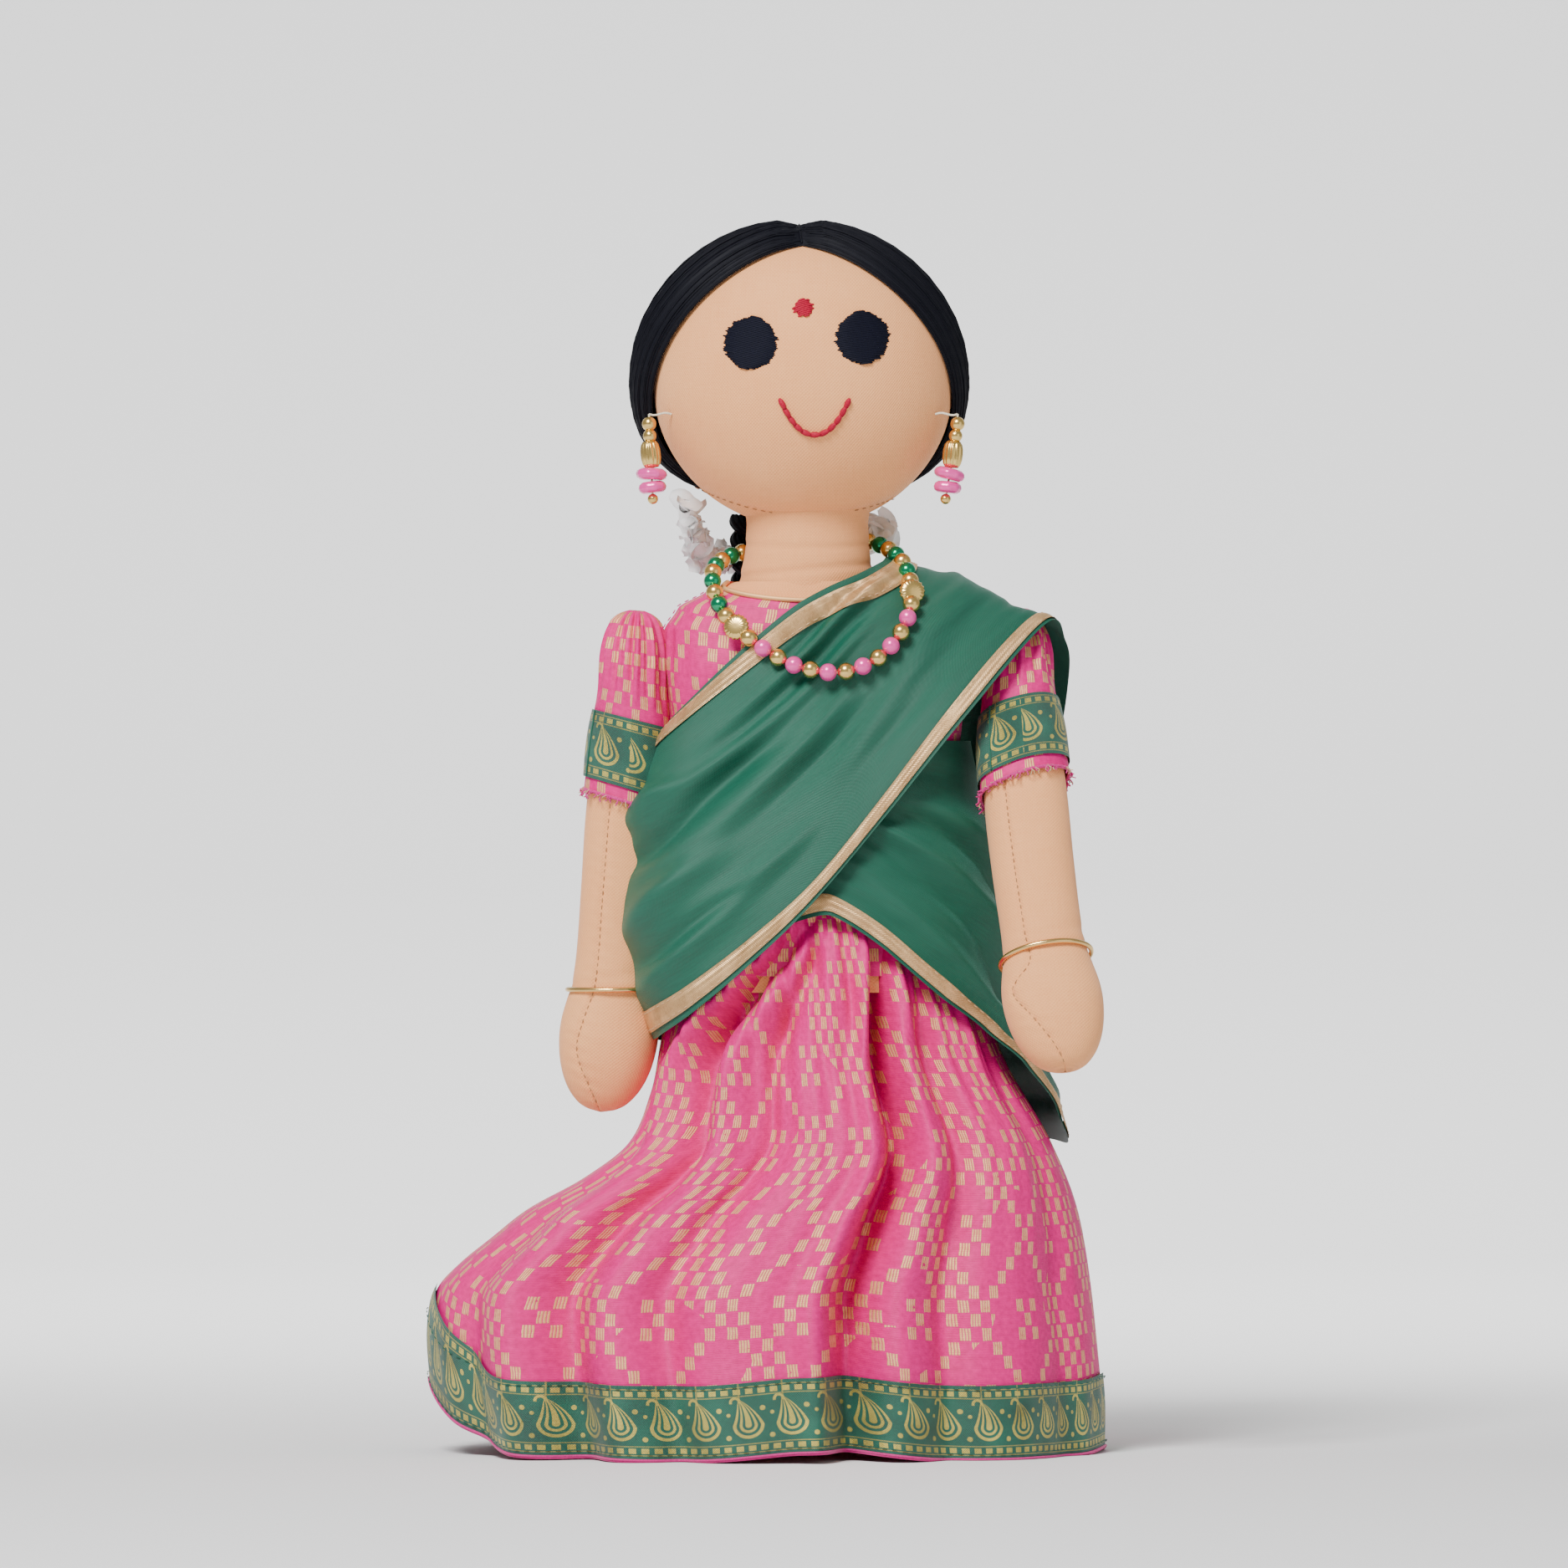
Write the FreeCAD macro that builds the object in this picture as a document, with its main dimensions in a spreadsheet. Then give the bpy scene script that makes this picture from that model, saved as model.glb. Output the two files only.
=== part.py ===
import FreeCAD, Part
import math
import os
import Sketcher

# A stuffed cotton doll, 300 mm tall, standing on the hem of its gathered skirt.
# It faces -Y, +Z is up, and the origin is on the floor under the middle of the hem.
# "right" and "left" are the doll's own sides: its right is towards -X.

doc = FreeCAD.newDocument("cloth_doll")
sheet = doc.addObject("Spreadsheet::Sheet", "Sizes")

# Each station is a level cross-section: height, centre x, half width, half depth.
STATIONS = {
    "torso": {
        "hip": (121, 11.8, 27, 17),
        "waist": (146, 11.8, 27.5, 17),
        "chest": (176, 11.8, 30.5, 17.5),
        "shoulder": (192, 11.8, 27.5, 15.5),
        "collar": (204, 11.8, 15.5, 12),
    },
    "skirt": {
        "waist": (135, 14.5, 35, 23),
        "hip": (111, 17, 40.5, 29),
        "seat": (95, 19.5, 44, 34),
        "thigh": (76, 19.5, 51.5, 40),
        "flare": (60, 9.5, 66, 46),
        "shin": (42, 0.5, 78, 51),
        "border": (18, 0, 80.5, 54),
        "hem": (0, 0, 81.8, 55),
    },
    "neck": {
        "base": (204.3, 9.5, 15.5, 13),
        "top": (224.5, 9.5, 15, 13),
    },
}

DIMENSIONS = {
    "body_axis": 9.5,
    # cloth layers
    "skin_cloth": 0.6,
    "blouse_cloth": 0.9,
    "sari_cloth": 1.3,
    "ribbon_cloth": 0.5,
    "skirt_cloth": 1.6,
    "sleeve_cloth": 0.8,
    "border_cloth": 0.4,
    # head and hair
    "head_axis": 8.5,
    "head_level": 260.6,
    "head_half_width": 36.5,
    "head_half_depth": 29,
    "head_half_height": 35.6,
    "hair_axis": 7.5,
    "hair_half_width": 41.2,
    "hair_half_depth": 34,
    "hair_half_height": 39.4,
    "hairline_half_width": 38.5,
    "hairline_half_height": 40,
    "hairline_level": 255,
    "nape_level": 229,
    "eye_radius": 6.8,
    "eye_spread": 13.5,
    "eye_level": 270.5,
    "stitch_relief": 0.8,
    "bindi_radius": 2.2,
    "bindi_level": 278.4,
    "mouth_radius": 8.5,
    "mouth_thread": 0.7,
    "mouth_level": 257,
    "parting_length": 5.5,
    "garland_radius": 27,
    "garland_thickness": 6,
    "garland_level": 223,
    # braid
    "braid_offset": 14,
    "braid_depth": 28.8,
    "braid_radius": 6,
    "braid_top": 223.5,
    "braid_end": 146,
    "braid_tie_height": 4,
    # blouse
    "blouse_bottom": 150,
    "blouse_top": 203,
    # half-sari
    "sash_angle": 46,
    "sash_width": 62,
    "sash_level": 163,
    "ribbon_width": 5,
    "ribbon_inset": 2,
    "sari_waist_top": 139,
    "sari_hip_bottom": 97,
    "fall_width": 26,
    "fall_depth": 20.5,
    "fall_bottom": 104,
    "fall_top": 196,
    # skirt waistband
    "waistband_bottom": 129,
    # necklace
    "necklace_radius": 24,
    "necklace_tilt": 35,
    "necklace_axis": 10.8,
    "necklace_depth": 3.4,
    "necklace_level": 205.6,
    "necklace_thread": 0.35,
    "necklace_beads": 38,
    "bead_radius": 1.9,
    "fluted_radius": 3.1,
    "fluted_width": 2.8,
    # earrings
    "earring_spread": 37.4,
    "earring_depth": 14.5,
    "earring_top": 252,
    "earring_drop": 22.5,
    "earring_thread": 0.35,
    # arms: heights are measured along the arm from the finger tips
    "arm_length": 114,
    "arm_radius": 10,
    "wrist_radius": 9.1,
    "hand_radius": 11.6,
    "shoulder_cap": 9.4,
    "shoulder_level": 197,
    "right_shoulder": 42,
    "right_tip": 50.3,
    "left_shoulder": 51,
    "left_tip": 61.7,
    "left_tip_level": 94.3,
    "sleeve_end": 74,
    "border_start": 84,
    "border_end": 100,
    "bangle_height": 30,
    "bangle_radius": 10.45,
    "bangle_wire": 0.8,
    # legs
    "leg_radius": 10.5,
    "ankle_radius": 8,
    "leg_spread": 14,
    "hip_level": 110,
    "sole_level": 2,
}

row = 1
for piece, stations in STATIONS.items():
    for station, numbers in stations.items():
        for quantity, number in zip(("level", "axis", "half_width", "half_depth"), numbers):
            sheet.set(f"A{row}", f"{piece}_{station}_{quantity}")
            sheet.set(f"B{row}", str(number))
            sheet.setAlias(f"B{row}", f"{piece}_{station}_{quantity}")
            row += 1
for alias, number in DIMENSIONS.items():
    sheet.set(f"A{row}", alias)
    sheet.set(f"B{row}", str(number))
    sheet.setAlias(f"B{row}", alias)
    row += 1
doc.recompute()

FAR = 400
PARTS = []


def size(alias):
    """The value of one cell of the sheet."""
    return float(sheet.get(alias))


def bind(thing, **formulas):
    """Bind properties to formulas whose words are the sheet's aliases."""
    for prop, formula in formulas.items():
        words = [f"Sizes.{w}" if w.isidentifier() else w for w in formula.split()]
        thing.setExpression(prop.replace("__", "."), " ".join(words))


def add(kind, label):
    thing = doc.addObject(kind, label)
    thing.Label = label
    return thing


def keep(thing):
    """Mark an object as a piece of the doll: its Label names its file."""
    PARTS.append(thing)
    return thing


def cut(label, base, tool):
    result = add("Part::Cut", label)
    result.Base = base
    result.Tool = tool
    return result


def common(label, base, tool):
    result = add("Part::Common", label)
    result.Base = base
    result.Tool = tool
    return result


def fuse(label, pieces):
    result = add("Part::MultiFuse", label)
    result.Shapes = pieces
    return result


def space(label, low, high):
    """A box between two corners, used to keep one region of a piece."""
    box = add("Part::Box", label)
    box.Length = high[0] - low[0]
    box.Width = high[1] - low[1]
    box.Height = high[2] - low[2]
    box.Placement.Base = FreeCAD.Vector(*low)
    return box


def elliptic_loft(label, piece, growth="", names=None, trim=None):
    """A solid through a piece's stations, grown all round by a formula.

    trim shortens both ends by that cell's value."""
    names = names or list(STATIONS[piece])
    sections = []
    for name in names:
        cell = f"{piece}_{name}"
        section = add("Part::Ellipse", f"{label}_{name}")
        bind(section, MajorRadius=f"{cell}_half_width {growth}",
             MinorRadius=f"{cell}_half_depth {growth}",
             Placement__Base__x=f"{cell}_axis")
        ends = {names[0]: names[1], names[-1]: names[-2]}
        level = f"{cell}_level"
        if trim and name in ends:
            inwards = size(f"{piece}_{ends[name]}_level") > size(level)
            level += f" {'+' if inwards else '-'} {trim}"
        bind(section, Placement__Base__z=level)
        sections.append(section)
    loft = add("Part::Loft", label)
    loft.Sections = sections
    loft.Solid = True
    loft.Ruled = True
    return loft


def ellipsoid(label, piece, growth=""):
    """An ellipsoid with the piece's half width, half depth and half height."""
    ball = add("Part::Ellipsoid", label)
    bind(ball, Radius2=f"{piece}_half_width {growth}", Radius3=f"{piece}_half_depth {growth}",
         Radius1=f"{piece}_half_height {growth}", Placement__Base__x=f"{piece}_axis",
         Placement__Base__z="head_level")
    return ball


def turned(label, outline, placement, angle=360, flip=False, inner=None):
    """A body turned about its own Z axis from an outline of (radius, height) formulas.

    inner is a second outline that hollows it, and angle 180 makes one of two halves."""
    body = add("PartDesign::Body", label)
    sketch = body.newObject("Sketcher::SketchObject", f"{label}_outline")
    plane = [o for o in body.Origin.OriginFeatures if o.Role == "YZ_Plane"][0]
    sketch.AttachmentSupport = (plane, "")
    sketch.MapMode = "FlatFace"
    corners = outline + (inner[::-1] if inner else [])
    words = [[[size(w) if w.isidentifier() else w for w in f.split()] for f in c] for c in corners]
    spots = [FreeCAD.Vector(total(c[0]), total(c[1]), 0) for c in words]
    last = len(corners) - 1
    for i, spot in enumerate(spots):
        sketch.addGeometry(Part.LineSegment(spot, spots[0 if i == last else i + 1]), False)
    for i in range(last + 1):
        sketch.addConstraint(Sketcher.Constraint("Coincident", i, 2, 0 if i == last else i + 1, 1))
    for i, (radius, height) in enumerate(corners):
        if radius == "0":
            sketch.addConstraint(Sketcher.Constraint("PointOnObject", i, 1, -2))
        else:
            limit(sketch, Sketcher.Constraint("DistanceX", -1, 1, i, 1, spots[i].x), radius)
        if height == "0":
            sketch.addConstraint(Sketcher.Constraint("PointOnObject", i, 1, -1))
        else:
            limit(sketch, Sketcher.Constraint("DistanceY", -1, 1, i, 1, spots[i].y), height)
    turn = body.newObject("PartDesign::Revolution", f"{label}_turn")
    turn.Profile = sketch
    turn.ReferenceAxis = (sketch, ["V_Axis"])
    turn.Angle = angle
    turn.Reversed = flip
    body.Placement = placement
    return body


def total(terms):
    """The value of a formula that is split into numbers, + and -."""
    result, sign = 0.0, 1
    for term in terms:
        if term in ("+", "-"):
            sign = 1 if term == "+" else -1
        else:
            result += sign * float(term)
    return result


def limit(sketch, constraint, formula):
    index = sketch.addConstraint(constraint)
    bind(sketch, **{f"Constraints[{index}]": formula})


def ball(label, radius, spot):
    sphere = add("Part::Sphere", label)
    bind(sphere, Radius=radius)
    sphere.Placement.Base = spot
    return sphere


def rod(label, radius, height, placement):
    cylinder = add("Part::Cylinder", label)
    bind(cylinder, Radius=radius, Height=height)
    cylinder.Placement = placement
    return cylinder


def vector(x, y, z):
    return FreeCAD.Vector(x, y, z)


AXIS = size("body_axis")
LEVEL = FreeCAD.Rotation()
FACING = FreeCAD.Rotation(vector(1, 0, 0), 90)
front = space("front_space", (-FAR, -FAR, -FAR), (FAR, 0, FAR))
back = space("back_space", (-FAR, 0, -FAR), (FAR, FAR, FAR))


# --- torso: two cotton panels sewn round the stuffing ---

torso_skin = elliptic_loft("torso_skin", "torso")
torso_stuffing = keep(elliptic_loft("torso_stuffing", "torso", "- skin_cloth", trim="skin_cloth"))
torso_shell = cut("torso_shell", torso_skin, torso_stuffing)
keep(common("torso_front_panel", torso_shell, front))
keep(common("torso_back_panel", torso_shell, back))


# --- blouse: brocade front and back over the torso ---

blouse_outer = elliptic_loft("blouse_outer", "torso", "+ blouse_cloth")
blouse_shell = cut("blouse_shell", blouse_outer, torso_skin)
blouse_band = space("blouse_band", (-FAR, -FAR, size("blouse_bottom")), (FAR, FAR, size("blouse_top")))
blouse = common("blouse", blouse_shell, blouse_band)
keep(common("blouse_front", blouse, front))
keep(common("blouse_back", blouse, back))


# --- skirt: a gathered cloth cone, its waistband and the border sewn round the hem ---

upper_skirt = [name for name in STATIONS["skirt"] if name != "hem"]
skirt_solid = elliptic_loft("skirt_solid", "skirt", names=upper_skirt)
skirt_inside = elliptic_loft("skirt_inside", "skirt", "- skirt_cloth", names=upper_skirt)
keep(cut("skirt", skirt_solid, skirt_inside))
border_solid = elliptic_loft("border_solid", "skirt", names=["border", "hem"])
border_inside = elliptic_loft("border_inside", "skirt", "- skirt_cloth", names=["border", "hem"])
keep(cut("skirt_hem_border", border_solid, border_inside))
waistband_zone = space("waistband_zone", (-FAR, -FAR, size("waistband_bottom")),
                       (FAR, FAR, size("skirt_waist_level")))
waistband_ring = common("waistband_ring", skirt_inside, waistband_zone)
keep(cut("skirt_waistband", waistband_ring, torso_skin))


# --- half-sari: one cloth round the hips, up across the chest and down behind a shoulder ---

def sash_space(label, low, high):
    """The space between two parallel slanting planes that climb to the left shoulder."""
    slab = space(label, (-FAR, -FAR, low), (FAR, FAR, high))
    slab.Placement = FreeCAD.Placement(vector(AXIS, 0, size("sash_level")),
                                       FreeCAD.Rotation(vector(0, -1, 0), size("sash_angle"))
                                       ).multiply(slab.Placement)
    return slab


layers = "+ blouse_cloth + sari_cloth"
sari_outer = elliptic_loft("sari_outer", "torso", layers)
sari_chest_shell = cut("sari_chest_shell", sari_outer, blouse_outer)
half_sash = size("sash_width") / 2
sari_chest_zone = sash_space("sari_chest_zone", -half_sash, half_sash)
above_waist = space("above_waist", (-FAR, -FAR, size("sari_waist_top") - 2),
                    (FAR, FAR, size("torso_shoulder_level") + 6))
sari_chest_ring = common("sari_chest_ring", sari_chest_shell, above_waist)
sari_chest = common("sari_chest", sari_chest_ring, sari_chest_zone)

hip_names = ["waist", "hip", "seat", "thigh"]
hip_outer = elliptic_loft("hip_outer", "skirt", "+ sari_cloth", names=hip_names)
hip_shell = cut("hip_shell", hip_outer, skirt_solid)
hip_zone = space("hip_zone", (-FAR, -FAR, size("sari_hip_bottom")), (FAR, FAR, size("skirt_waist_level")))
sari_hip = common("sari_hip", hip_shell, hip_zone)

waist_fold_outer = add("Part::Ellipse", "waist_fold_outline")
bind(waist_fold_outer, MajorRadius="skirt_waist_half_width + sari_cloth",
     MinorRadius="skirt_waist_half_depth + sari_cloth",
     Placement__Base__x="skirt_waist_axis", Placement__Base__z="skirt_waist_level")
waist_fold_solid = add("Part::Extrusion", "waist_fold_solid")
waist_fold_solid.Base = waist_fold_outer
waist_fold_solid.DirMode = "Custom"
waist_fold_solid.Dir = vector(0, 0, 1)
waist_fold_solid.Solid = True
bind(waist_fold_solid, LengthFwd="sari_waist_top - skirt_waist_level")
waist_fold = cut("waist_fold", waist_fold_solid, blouse_outer)

sari_fall = add("Part::Box", "sari_fall")
bind(sari_fall, Length="fall_width", Width="sari_cloth", Height="fall_top - fall_bottom")
sari_fall.Placement.Base = vector(AXIS + 9, size("fall_depth"), size("fall_bottom"))
sari_fold = add("Part::Box", "sari_fold")
bind(sari_fold, Length="fall_width", Width="fall_depth - 8", Height="sari_cloth")
sari_fold.Placement.Base = vector(AXIS + 9, 8, size("fall_top") - 7)
sari_fold_clear = cut("sari_fold_clear", sari_fold, blouse_outer)
sari_fall_clear = cut("sari_fall_clear", sari_fall, skirt_solid)
keep(fuse("half_sari", [sari_chest, sari_hip, waist_fold, sari_fold_clear, sari_fall_clear]))

ribbon_outer = elliptic_loft("ribbon_outer", "torso", layers + " + ribbon_cloth")
ribbon_shell = cut("ribbon_shell", ribbon_outer, sari_outer)
ribbon_front = common("ribbon_front", ribbon_shell, front)
above_fold = space("above_fold", (-FAR, -FAR, size("sari_waist_top")),
                   (FAR, FAR, size("torso_shoulder_level") + 6))
ribbon_field = common("ribbon_field", ribbon_front, above_fold)
ribbon_edge = half_sash - size("ribbon_inset")
upper_zone = sash_space("upper_zone", ribbon_edge - size("ribbon_width"), ribbon_edge)
lower_zone = sash_space("lower_zone", -ribbon_edge, size("ribbon_width") - ribbon_edge)
keep(common("half_sari_ribbon_upper", ribbon_field, upper_zone))
keep(common("half_sari_ribbon_lower", ribbon_field, lower_zone))
hip_ribbon_outer = elliptic_loft("hip_ribbon_outer", "skirt", "+ sari_cloth + ribbon_cloth",
                                 names=hip_names)
hip_ribbon_shell = cut("hip_ribbon_shell", hip_ribbon_outer, hip_outer)
hip_ribbon_bottom = size("sari_hip_bottom") + size("ribbon_inset")
hip_ribbon_zone = space("hip_ribbon_zone", (-FAR, -FAR, hip_ribbon_bottom),
                        (FAR, 0, hip_ribbon_bottom + size("ribbon_width")))
keep(common("half_sari_ribbon_hip", hip_ribbon_shell, hip_ribbon_zone))


# --- neck: a stuffed cotton tube between torso and head ---

neck_solid = elliptic_loft("neck_solid", "neck")
neck_stuffing = keep(elliptic_loft("neck_stuffing", "neck", "- skin_cloth"))
keep(cut("neck_skin", neck_solid, neck_stuffing))


# --- head: face and back panels round the stuffing, with embroidered features ---

head_skin = ellipsoid("head_skin", "head")
head_stuffing = keep(ellipsoid("head_stuffing", "head", "- skin_cloth"))
head_shell = cut("head_shell", head_skin, head_stuffing)
keep(common("head_face_panel", head_shell, front))
keep(common("head_back_panel", head_shell, back))
relief_ball = ellipsoid("relief_ball", "head", "+ stitch_relief")
relief = cut("relief", relief_ball, head_skin)


def embroidered_disc(label, radius, x, z):
    """A round patch of stitches that stands out a little from the face."""
    plug = rod(f"{label}_plug", radius, "head_half_depth + stitch_relief",
               FreeCAD.Placement(vector(x, 0, z), FACING))
    return keep(common(label, relief, plug))


head_axis = size("head_axis")
for side, sign in (("right", -1), ("left", 1)):
    embroidered_disc(f"eye_{side}", "eye_radius", AXIS + sign * size("eye_spread"), size("eye_level"))
embroidered_disc("bindi", "bindi_radius", AXIS, size("bindi_level"))

mouth_band = add("Part::Torus", "mouth_band")
bind(mouth_band, Radius1="mouth_radius", Radius2="mouth_thread")
mouth_band.Placement = FreeCAD.Placement(
    vector(AXIS, 0.6 - size("head_half_depth"), size("mouth_level")), FACING)
mouth_zone = space("mouth_zone", (-FAR, -FAR, 0), (FAR, 0, size("mouth_level") - 2))
mouth_lower = common("mouth_lower", mouth_band, mouth_zone)
keep(cut("mouth_stitching", mouth_lower, head_skin))


# --- hair: two swathes of thread from the parting, over the ears, to the nape ---

hair_ball = ellipsoid("hair_ball", "hair")
hair_shell = cut("hair_shell", hair_ball, head_skin)
hairline = add("Part::Ellipse", "hairline")
bind(hairline, MajorRadius="hairline_half_height", MinorRadius="hairline_half_width")
hairline.Placement = FreeCAD.Placement(
    vector(head_axis, -FAR, size("hairline_level")),
    FreeCAD.Rotation(vector(1, 0, 0), -90).multiply(FreeCAD.Rotation(vector(0, 0, 1), 90)))
face_space = add("Part::Extrusion", "face_space")
face_space.Base = hairline
face_space.DirMode = "Custom"
face_space.Dir = vector(0, 1, 0)
face_space.LengthFwd = FAR - 4
face_space.Solid = True
hair_open = cut("hair_open", hair_shell, face_space)
nape_space = space("nape_space", (-FAR, -FAR, 0), (FAR, FAR, size("nape_level")))
hair_cap = cut("hair_cap", hair_open, nape_space)
right_side = space("right_side", (-FAR, -FAR, -FAR), (AXIS - 0.5, FAR, FAR))
left_side = space("left_side", (AXIS - 0.5, -FAR, -FAR), (FAR, FAR, FAR))
keep(common("hair_right_swathe", hair_cap, right_side))
keep(common("hair_left_swathe", hair_cap, left_side))

parting_level = size("head_level") + size("hair_half_height") * 0.985
parting_plug = space("parting_plug", (AXIS - 1, -FAR, parting_level - size("parting_length")),
                     (AXIS, 0, parting_level))
parting_ball = ellipsoid("parting_ball", "hair", "+ mouth_thread")
parting_relief = cut("parting_relief", parting_ball, hair_ball)
keep(common("parting_stitches", parting_relief, parting_plug))

garland_axis = vector(AXIS, 0, size("garland_level"))
garland_halves = []
for name, start, sweep in (("garland_left", -6, 95), ("garland_right", 143, 43)):
    arc = add("Part::Torus", name)
    bind(arc, Radius1="garland_radius", Radius2="garland_thickness")
    arc.Angle3 = sweep
    arc.Placement = FreeCAD.Placement(garland_axis, FreeCAD.Rotation(vector(0, 0, 1), start))
    garland_halves.append(arc)
garland = add("Part::Compound", "jasmine_garland")
garland.Links = garland_halves
keep(garland)


# --- braid: hangs from the nape down the back, bound at its end ---

braid_x = AXIS - size("braid_offset")
braid_y = size("braid_depth")
braid_strand = rod("braid_strand", "braid_radius", "braid_top - braid_end",
                   FreeCAD.Placement(vector(braid_x, braid_y, size("braid_end")), LEVEL))
braid_root = ball("braid_root", "braid_radius", vector(braid_x, braid_y, size("braid_top")))
braid_whole = fuse("braid_whole", [braid_strand, braid_root])
braid_tie_zone = rod("braid_tie_zone", "braid_radius + border_cloth", "braid_tie_height",
                     FreeCAD.Placement(vector(braid_x, braid_y, size("braid_end") + 14), LEVEL))
keep(braid_whole)
braid_whole.Label = "braid"
keep(cut("braid_tie", braid_tie_zone, braid_whole))


# --- necklace: beads threaded on a loop that rests on the chest and round the neck ---

necklace_place = FreeCAD.Placement(
    vector(size("necklace_axis"), -size("necklace_depth"), size("necklace_level")),
    FreeCAD.Rotation(vector(1, 0, 0), size("necklace_tilt")))
necklace_thread = keep(add("Part::Torus", "necklace_thread"))
bind(necklace_thread, Radius1="necklace_radius", Radius2="necklace_thread")
necklace_thread.Placement = necklace_place


def threaded(label, beads, thread):
    """Separate beads in one piece, each with a hole for the thread."""
    group = add("Part::Compound", f"{label}_solid")
    group.Links = beads
    return keep(cut(label, group, thread))


def necklace_kind(index):
    """Gold between pink ones in front, fluted where they end, then gold between green."""
    if abs(index) == 7:
        return "fluted"
    if index % 2 == 0:
        return "gold"
    return "pink" if abs(index) < 7 else "green"


bead_count = int(size("necklace_beads"))
strings = {"gold": [], "pink": [], "green": [], "fluted": []}
for index in range(1 - bead_count // 2, bead_count // 2 + 1):
    kind = necklace_kind(index)
    angle = math.radians(-90 + index * 360 / bead_count)
    reach = size("necklace_radius")
    spot = necklace_place.multVec(vector(reach * math.cos(angle), reach * math.sin(angle), 0))
    name = f"necklace_{kind}_{index + bead_count}"
    along = necklace_place.Rotation.multVec(vector(-math.sin(angle), math.cos(angle), 0))
    turn = FreeCAD.Rotation(vector(0, 0, 1), along)
    if kind == "fluted":
        start = spot - along * (size("fluted_width") / 2)
        bead = rod(name, "fluted_radius", "fluted_width", FreeCAD.Placement(start, turn))
    else:
        bead = ball(name, "bead_radius", spot)
        bead.Placement.Rotation = turn * FreeCAD.Rotation(vector(0, 0, 1), 50)
    strings[kind].append(bead)
for kind, beads in strings.items():
    threaded(f"necklace_{kind}_beads", beads, necklace_thread)


# --- earrings: beads and discs on a thread that hangs from a stitch beside the cheek ---

def earring_bead(side, name, radius, drop):
    sign = -1 if side == "right" else 1
    x = head_axis + sign * size("earring_spread")
    bead = add("Part::Sphere", f"earring_{side}_{name}")
    bead.Radius = radius
    bead.Placement.Base = vector(x, -size("earring_depth"), size("earring_top") - drop)
    return bead


def earring_disc(side, name, radius, drop, thickness):
    sign = -1 if side == "right" else 1
    x = head_axis + sign * size("earring_spread")
    disc = add("Part::Cylinder", f"earring_{side}_{name}")
    disc.Radius = radius
    disc.Height = thickness
    level = size("earring_top") - drop - thickness / 2
    disc.Placement.Base = vector(x, -size("earring_depth"), level)
    return disc


for side, sign in (("right", -1), ("left", 1)):
    x = head_axis + sign * size("earring_spread")
    y = -size("earring_depth")
    low = FreeCAD.Placement(vector(x, y, size("earring_top") - size("earring_drop")), LEVEL)
    thread = keep(rod(f"earring_{side}_thread", "earring_thread", "earring_drop", low))
    golds = [earring_bead(side, "bead_a", 1.7, 2.6), earring_bead(side, "bead_b", 1.6, 6),
             earring_bead(side, "bead_end", 1.3, 21.2)]
    pinks = [earring_disc(side, "disc_a", 3.8, 15.2, 3), earring_disc(side, "disc_b", 3.4, 18.3, 2.9)]
    fluted = [earring_disc(side, "fluted", 3, 10.6, 4.4)]
    threaded(f"earring_{side}_gold_beads", golds, thread)
    threaded(f"earring_{side}_pink_discs", pinks, thread)
    threaded(f"earring_{side}_fluted_bead", fluted, thread)
    inwards = FreeCAD.Rotation(vector(0, 0, 1), vector(-sign, 0, 0))
    stitch = rod(f"earring_{side}_stitch_rod", "mouth_thread", "hairline_half_width / 4",
                 FreeCAD.Placement(vector(x, y, size("earring_top") + 1), inwards))
    keep(cut(f"earring_{side}_stitch", stitch, head_skin))


# --- arms: inner and outer panels round the stuffing, with sleeve, border and bangle ---

def arm_outline(growth="", end="0", top="arm_length + shoulder_cap"):
    """Half outline of an arm from the finger tips to the top of the shoulder."""
    return [
        ("0", end),
        (f"hand_radius - 4 {growth}", "4"),
        (f"hand_radius {growth}", "14"),
        (f"hand_radius {growth}", "20"),
        (f"wrist_radius {growth}", "28"),
        (f"wrist_radius {growth}", "44"),
        (f"arm_radius {growth}", "72"),
        (f"arm_radius {growth}", "104"),
        (f"shoulder_cap {growth}", "arm_length"),
        (f"shoulder_cap - 3 {growth}", "arm_length + 6.6"),
        ("0", top),
    ]


def sleeve_outline(reach):
    return [
        (reach, "sleeve_end"),
        (reach, "104"),
        (f"{reach} - 0.6", "arm_length"),
        (f"{reach} - 3.5", "arm_length + 7"),
        ("1", "arm_length + shoulder_cap + sleeve_cloth"),
    ]


shoulders = {
    "right": vector(AXIS - size("right_shoulder"), 0, size("shoulder_level")),
    "left": vector(AXIS + size("left_shoulder"), 0, size("shoulder_level")),
}
right_across = size("right_tip") - size("right_shoulder")
right_down = math.sqrt(size("arm_length") ** 2 - right_across ** 2)
left_across = size("left_tip") - size("left_shoulder")
left_down = size("shoulder_level") - size("left_tip_level")
left_forward = math.sqrt(size("arm_length") ** 2 - left_across ** 2 - left_down ** 2)
tips = {
    "right": shoulders["right"] + vector(-right_across, 0, -right_down),
    "left": shoulders["left"] + vector(left_across, -left_forward, -left_down),
}

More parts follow.
